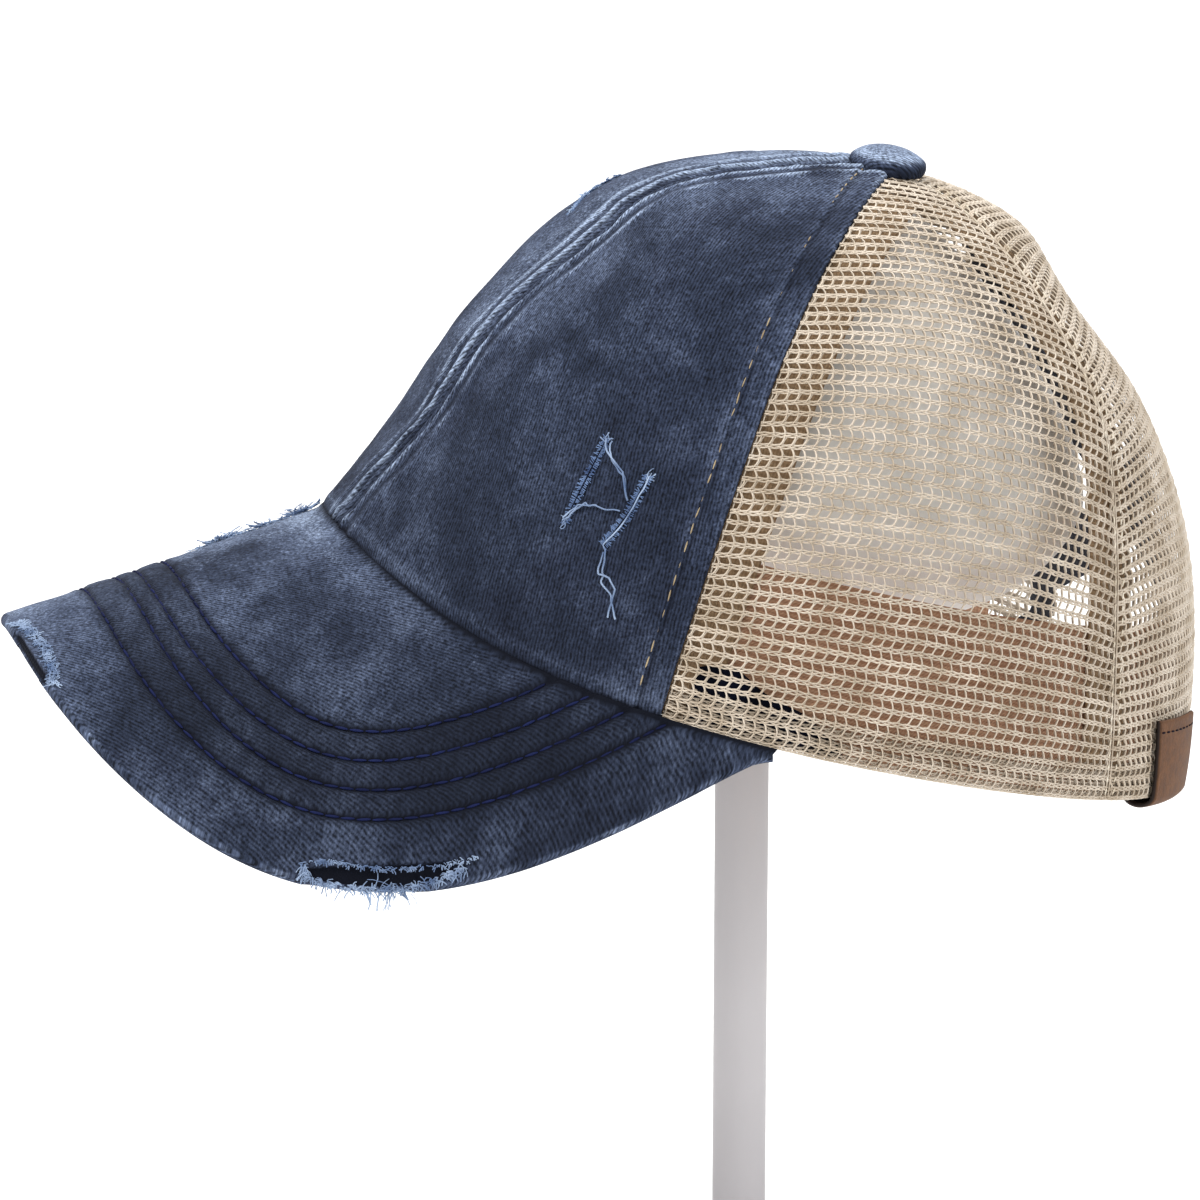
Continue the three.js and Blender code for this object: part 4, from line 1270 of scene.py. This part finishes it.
for index, (name, pairs) in enumerate(slashes.items()):
    samples = slash["samples"]
    points, normals, alongs = crownLine(pairs, samples, 0.05)
    # a near-black thread along each slash, painted shadow in the cut
    slitShadowLines.append(points)
    slitShadowWidths.append(slash["width"] * np.sqrt(np.sin(np.linspace(0, math.pi, samples)) + 0.02))
    rng = np.random.default_rng(70 + index)
    for hand in (-1, 1):  # cut yarns that stick out on both sides, like a feather
        for k in range(1, samples - 1):
            across = np.cross(normals[k], alongs[k]) * hand
            root = points[k] + across * 0.15
            reach = rng.uniform(slash["tickShort"], slash["tickLong"])
            tip = root + across * reach + alongs[k] * rng.normal(0, 0.3)
            tip = tip + normals[k] * rng.uniform(0.02, 0.16)
            middle = (root + tip) / 2 + normals[k] * 0.12
            if rng.uniform() < slash["tickShare"]:
                tickLines.append(np.array([root, middle, tip]))
                tickWidths.append(rng.uniform(0.18, 0.32))
    ends = [1, 3, 5, -6, -4, -2]
    keep(*fringe(points[ends], normals[ends], alongs[ends], 14, 1.6, 0.4, 0.1, 0.35, 80 + index))
    if name == "topFront":
        keep(*fringe(points, normals, alongs, 90, 1.9, 0.8, 0.0, 0.35, 84))
for index, pairs in enumerate(looseThreads):
    points, normals, _ = crownLine(pairs, 40, 0.3)
    run = np.linspace(0, 30, 40)
    sway = np.stack([softNoise(run, run * 0, 4, 91 + index + k) for k in range(3)], -1)
    arch = np.sin(np.linspace(0, math.pi, 40))[:, None] * normals * 0.3
    keep([points + sway * 0.3 + arch], [0.4])
threads("slashSlitShadows", slitShadowLines, slitShadowWidths, 6, materials["shadowAndDarkThread"], "denim")
threads("slashTicks", tickLines, tickWidths, 4, materials["slashTick"], "denim")

# the tear near the peak's left edge: a straight frayed upper edge, and a ragged hanging fringe below
upperEdge = [(0.612, 0.905), (0.63, 0.885), (0.665, 0.882), (0.70, 0.868), (0.73, 0.835)]
keep(*fringe(*peakLine(upperEdge, 80, 0.0), 210, 0.85, 0.3, 0.6, 0.25, 101))
lowerEdge = [(0.605, 0.93), (0.62, 0.965), (0.66, 0.985), (0.70, 0.98), (0.722, 0.94), (0.73, 0.9)]
keep(*fringe(*peakLine(lowerEdge, 90, 0.0), 290, 1.5, 0.6, 0.75, 0.24, 102))
for centre, count, size in ((0.648, 12, 2.6), (0.672, 14, 3.6), (0.69, 20, 4.6), (0.70, 10, 3.4)):
    tuft = peakLine([(centre - 0.008, 0.985), (centre + 0.008, 0.985)], 10, -0.4)
    keep(*fringe(*tuft, count, size, 0.3, 0.85, 0.22, int(centre * 1000)))
# the tip's tear: a matted frayed band along the top of the hole
keep(*fringe(*peakLine([(-0.02, 0.965), (0.03, 0.945), (0.09, 0.935), (0.15, 0.94), (0.195, 0.97)], 90, 0.0),
             420, 1.25, 0.9, 0.05, 0.38, 111))
# the slash on the far side of the peak, and its tufts
farSlash = [(-0.2, 0.40), (-0.225, 0.24), (-0.245, 0.07)]
keep(*fringe(*peakLine(farSlash, 120, -0.3), 170, 1.4, 0.5, -0.1, 0.35, 121))
for w, count in ((0.34, 60), (0.09, 66), (0.2, 16)):
    tuft = peakLine([(-0.205, w), (-0.225, w - 0.05)], 20, 0.0)
    keep(*fringe(*tuft, count, 3.6, 0.7, -0.55, 0.26, 125 + count))
threads("frayedThreads", frayLines, frayWidths, 4, materials["fray"], "denim")
print("frays made:", len(frayLines))


# Stand

stand = {"formRadius": 63.5, "waistHeight": 50, "centreForward": 7.3, "topRise": 53.2, "bottomDrop": 39,
         "topRoundness": 1.38, "bottomRoundness": 2, "postRadius": 5.7, "postBevel": 0.4, "baseRadius": 60,
         "baseHeight": 6, "baseBevel": 1.5, "footBevel": 0.6}


def formProfile():
    points = []
    for share in np.linspace(-1, 1, 81):
        climbShare = abs(math.sin(math.pi / 2 * share))
        power = stand["topRoundness"] if share > 0 else stand["bottomRoundness"]
        reach = stand["topRise"] if share > 0 else -stand["bottomDrop"]
        radius = 0 if abs(share) == 1 else stand["formRadius"] * (1 - climbShare**power) ** (1 / power)
        points.append((radius, stand["waistHeight"] + reach * climbShare))
    return points


def postProfile():  # the post ends inside the form's foot, a hair under its skin
    low, top = stand["baseHeight"] + crown["clearance"], float(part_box("stand_post")[1].z) * 1000 - 0.4
    radius, bevel = stand["postRadius"], stand["postBevel"]
    return [(0, low), (radius - bevel, low), (radius, low + bevel),
            (radius, top - bevel), (radius - bevel, top), (0, top)]


def baseProfile():
    radius, height = stand["baseRadius"], stand["baseHeight"]
    bevel, foot = stand["baseBevel"], stand["footBevel"]
    angles = np.linspace(math.pi / 2, 0, 7)
    rounded = [(radius - bevel * (1 - math.sin(a)), height - bevel * (1 - math.cos(a))) for a in angles]
    return [(0, 0), (radius - foot, 0), (radius, foot), *rounded, (0, height)]


points, faces = latheMesh(formProfile(), 96)
uv = points[:, :2].copy()
points[:, 1] -= stand["centreForward"]
form = addMesh("standForm", placed(points), faces, uv=uv, crease=60)
finishPiece(form, materials["form"], "stand", "stand_form")
for name, node, profile, segments, crease in (("standPost", "stand_post", postProfile(), 64, 50),
                                              ("standBase", "stand_base", baseProfile(), 128, 35)):
    points, faces = latheMesh(profile, segments)
    piece = addMesh(name, points * 0.001, faces, uv=points[:, :2], crease=crease)
    finishPiece(piece, materials["stand"], "stand", node)
print("stand made")
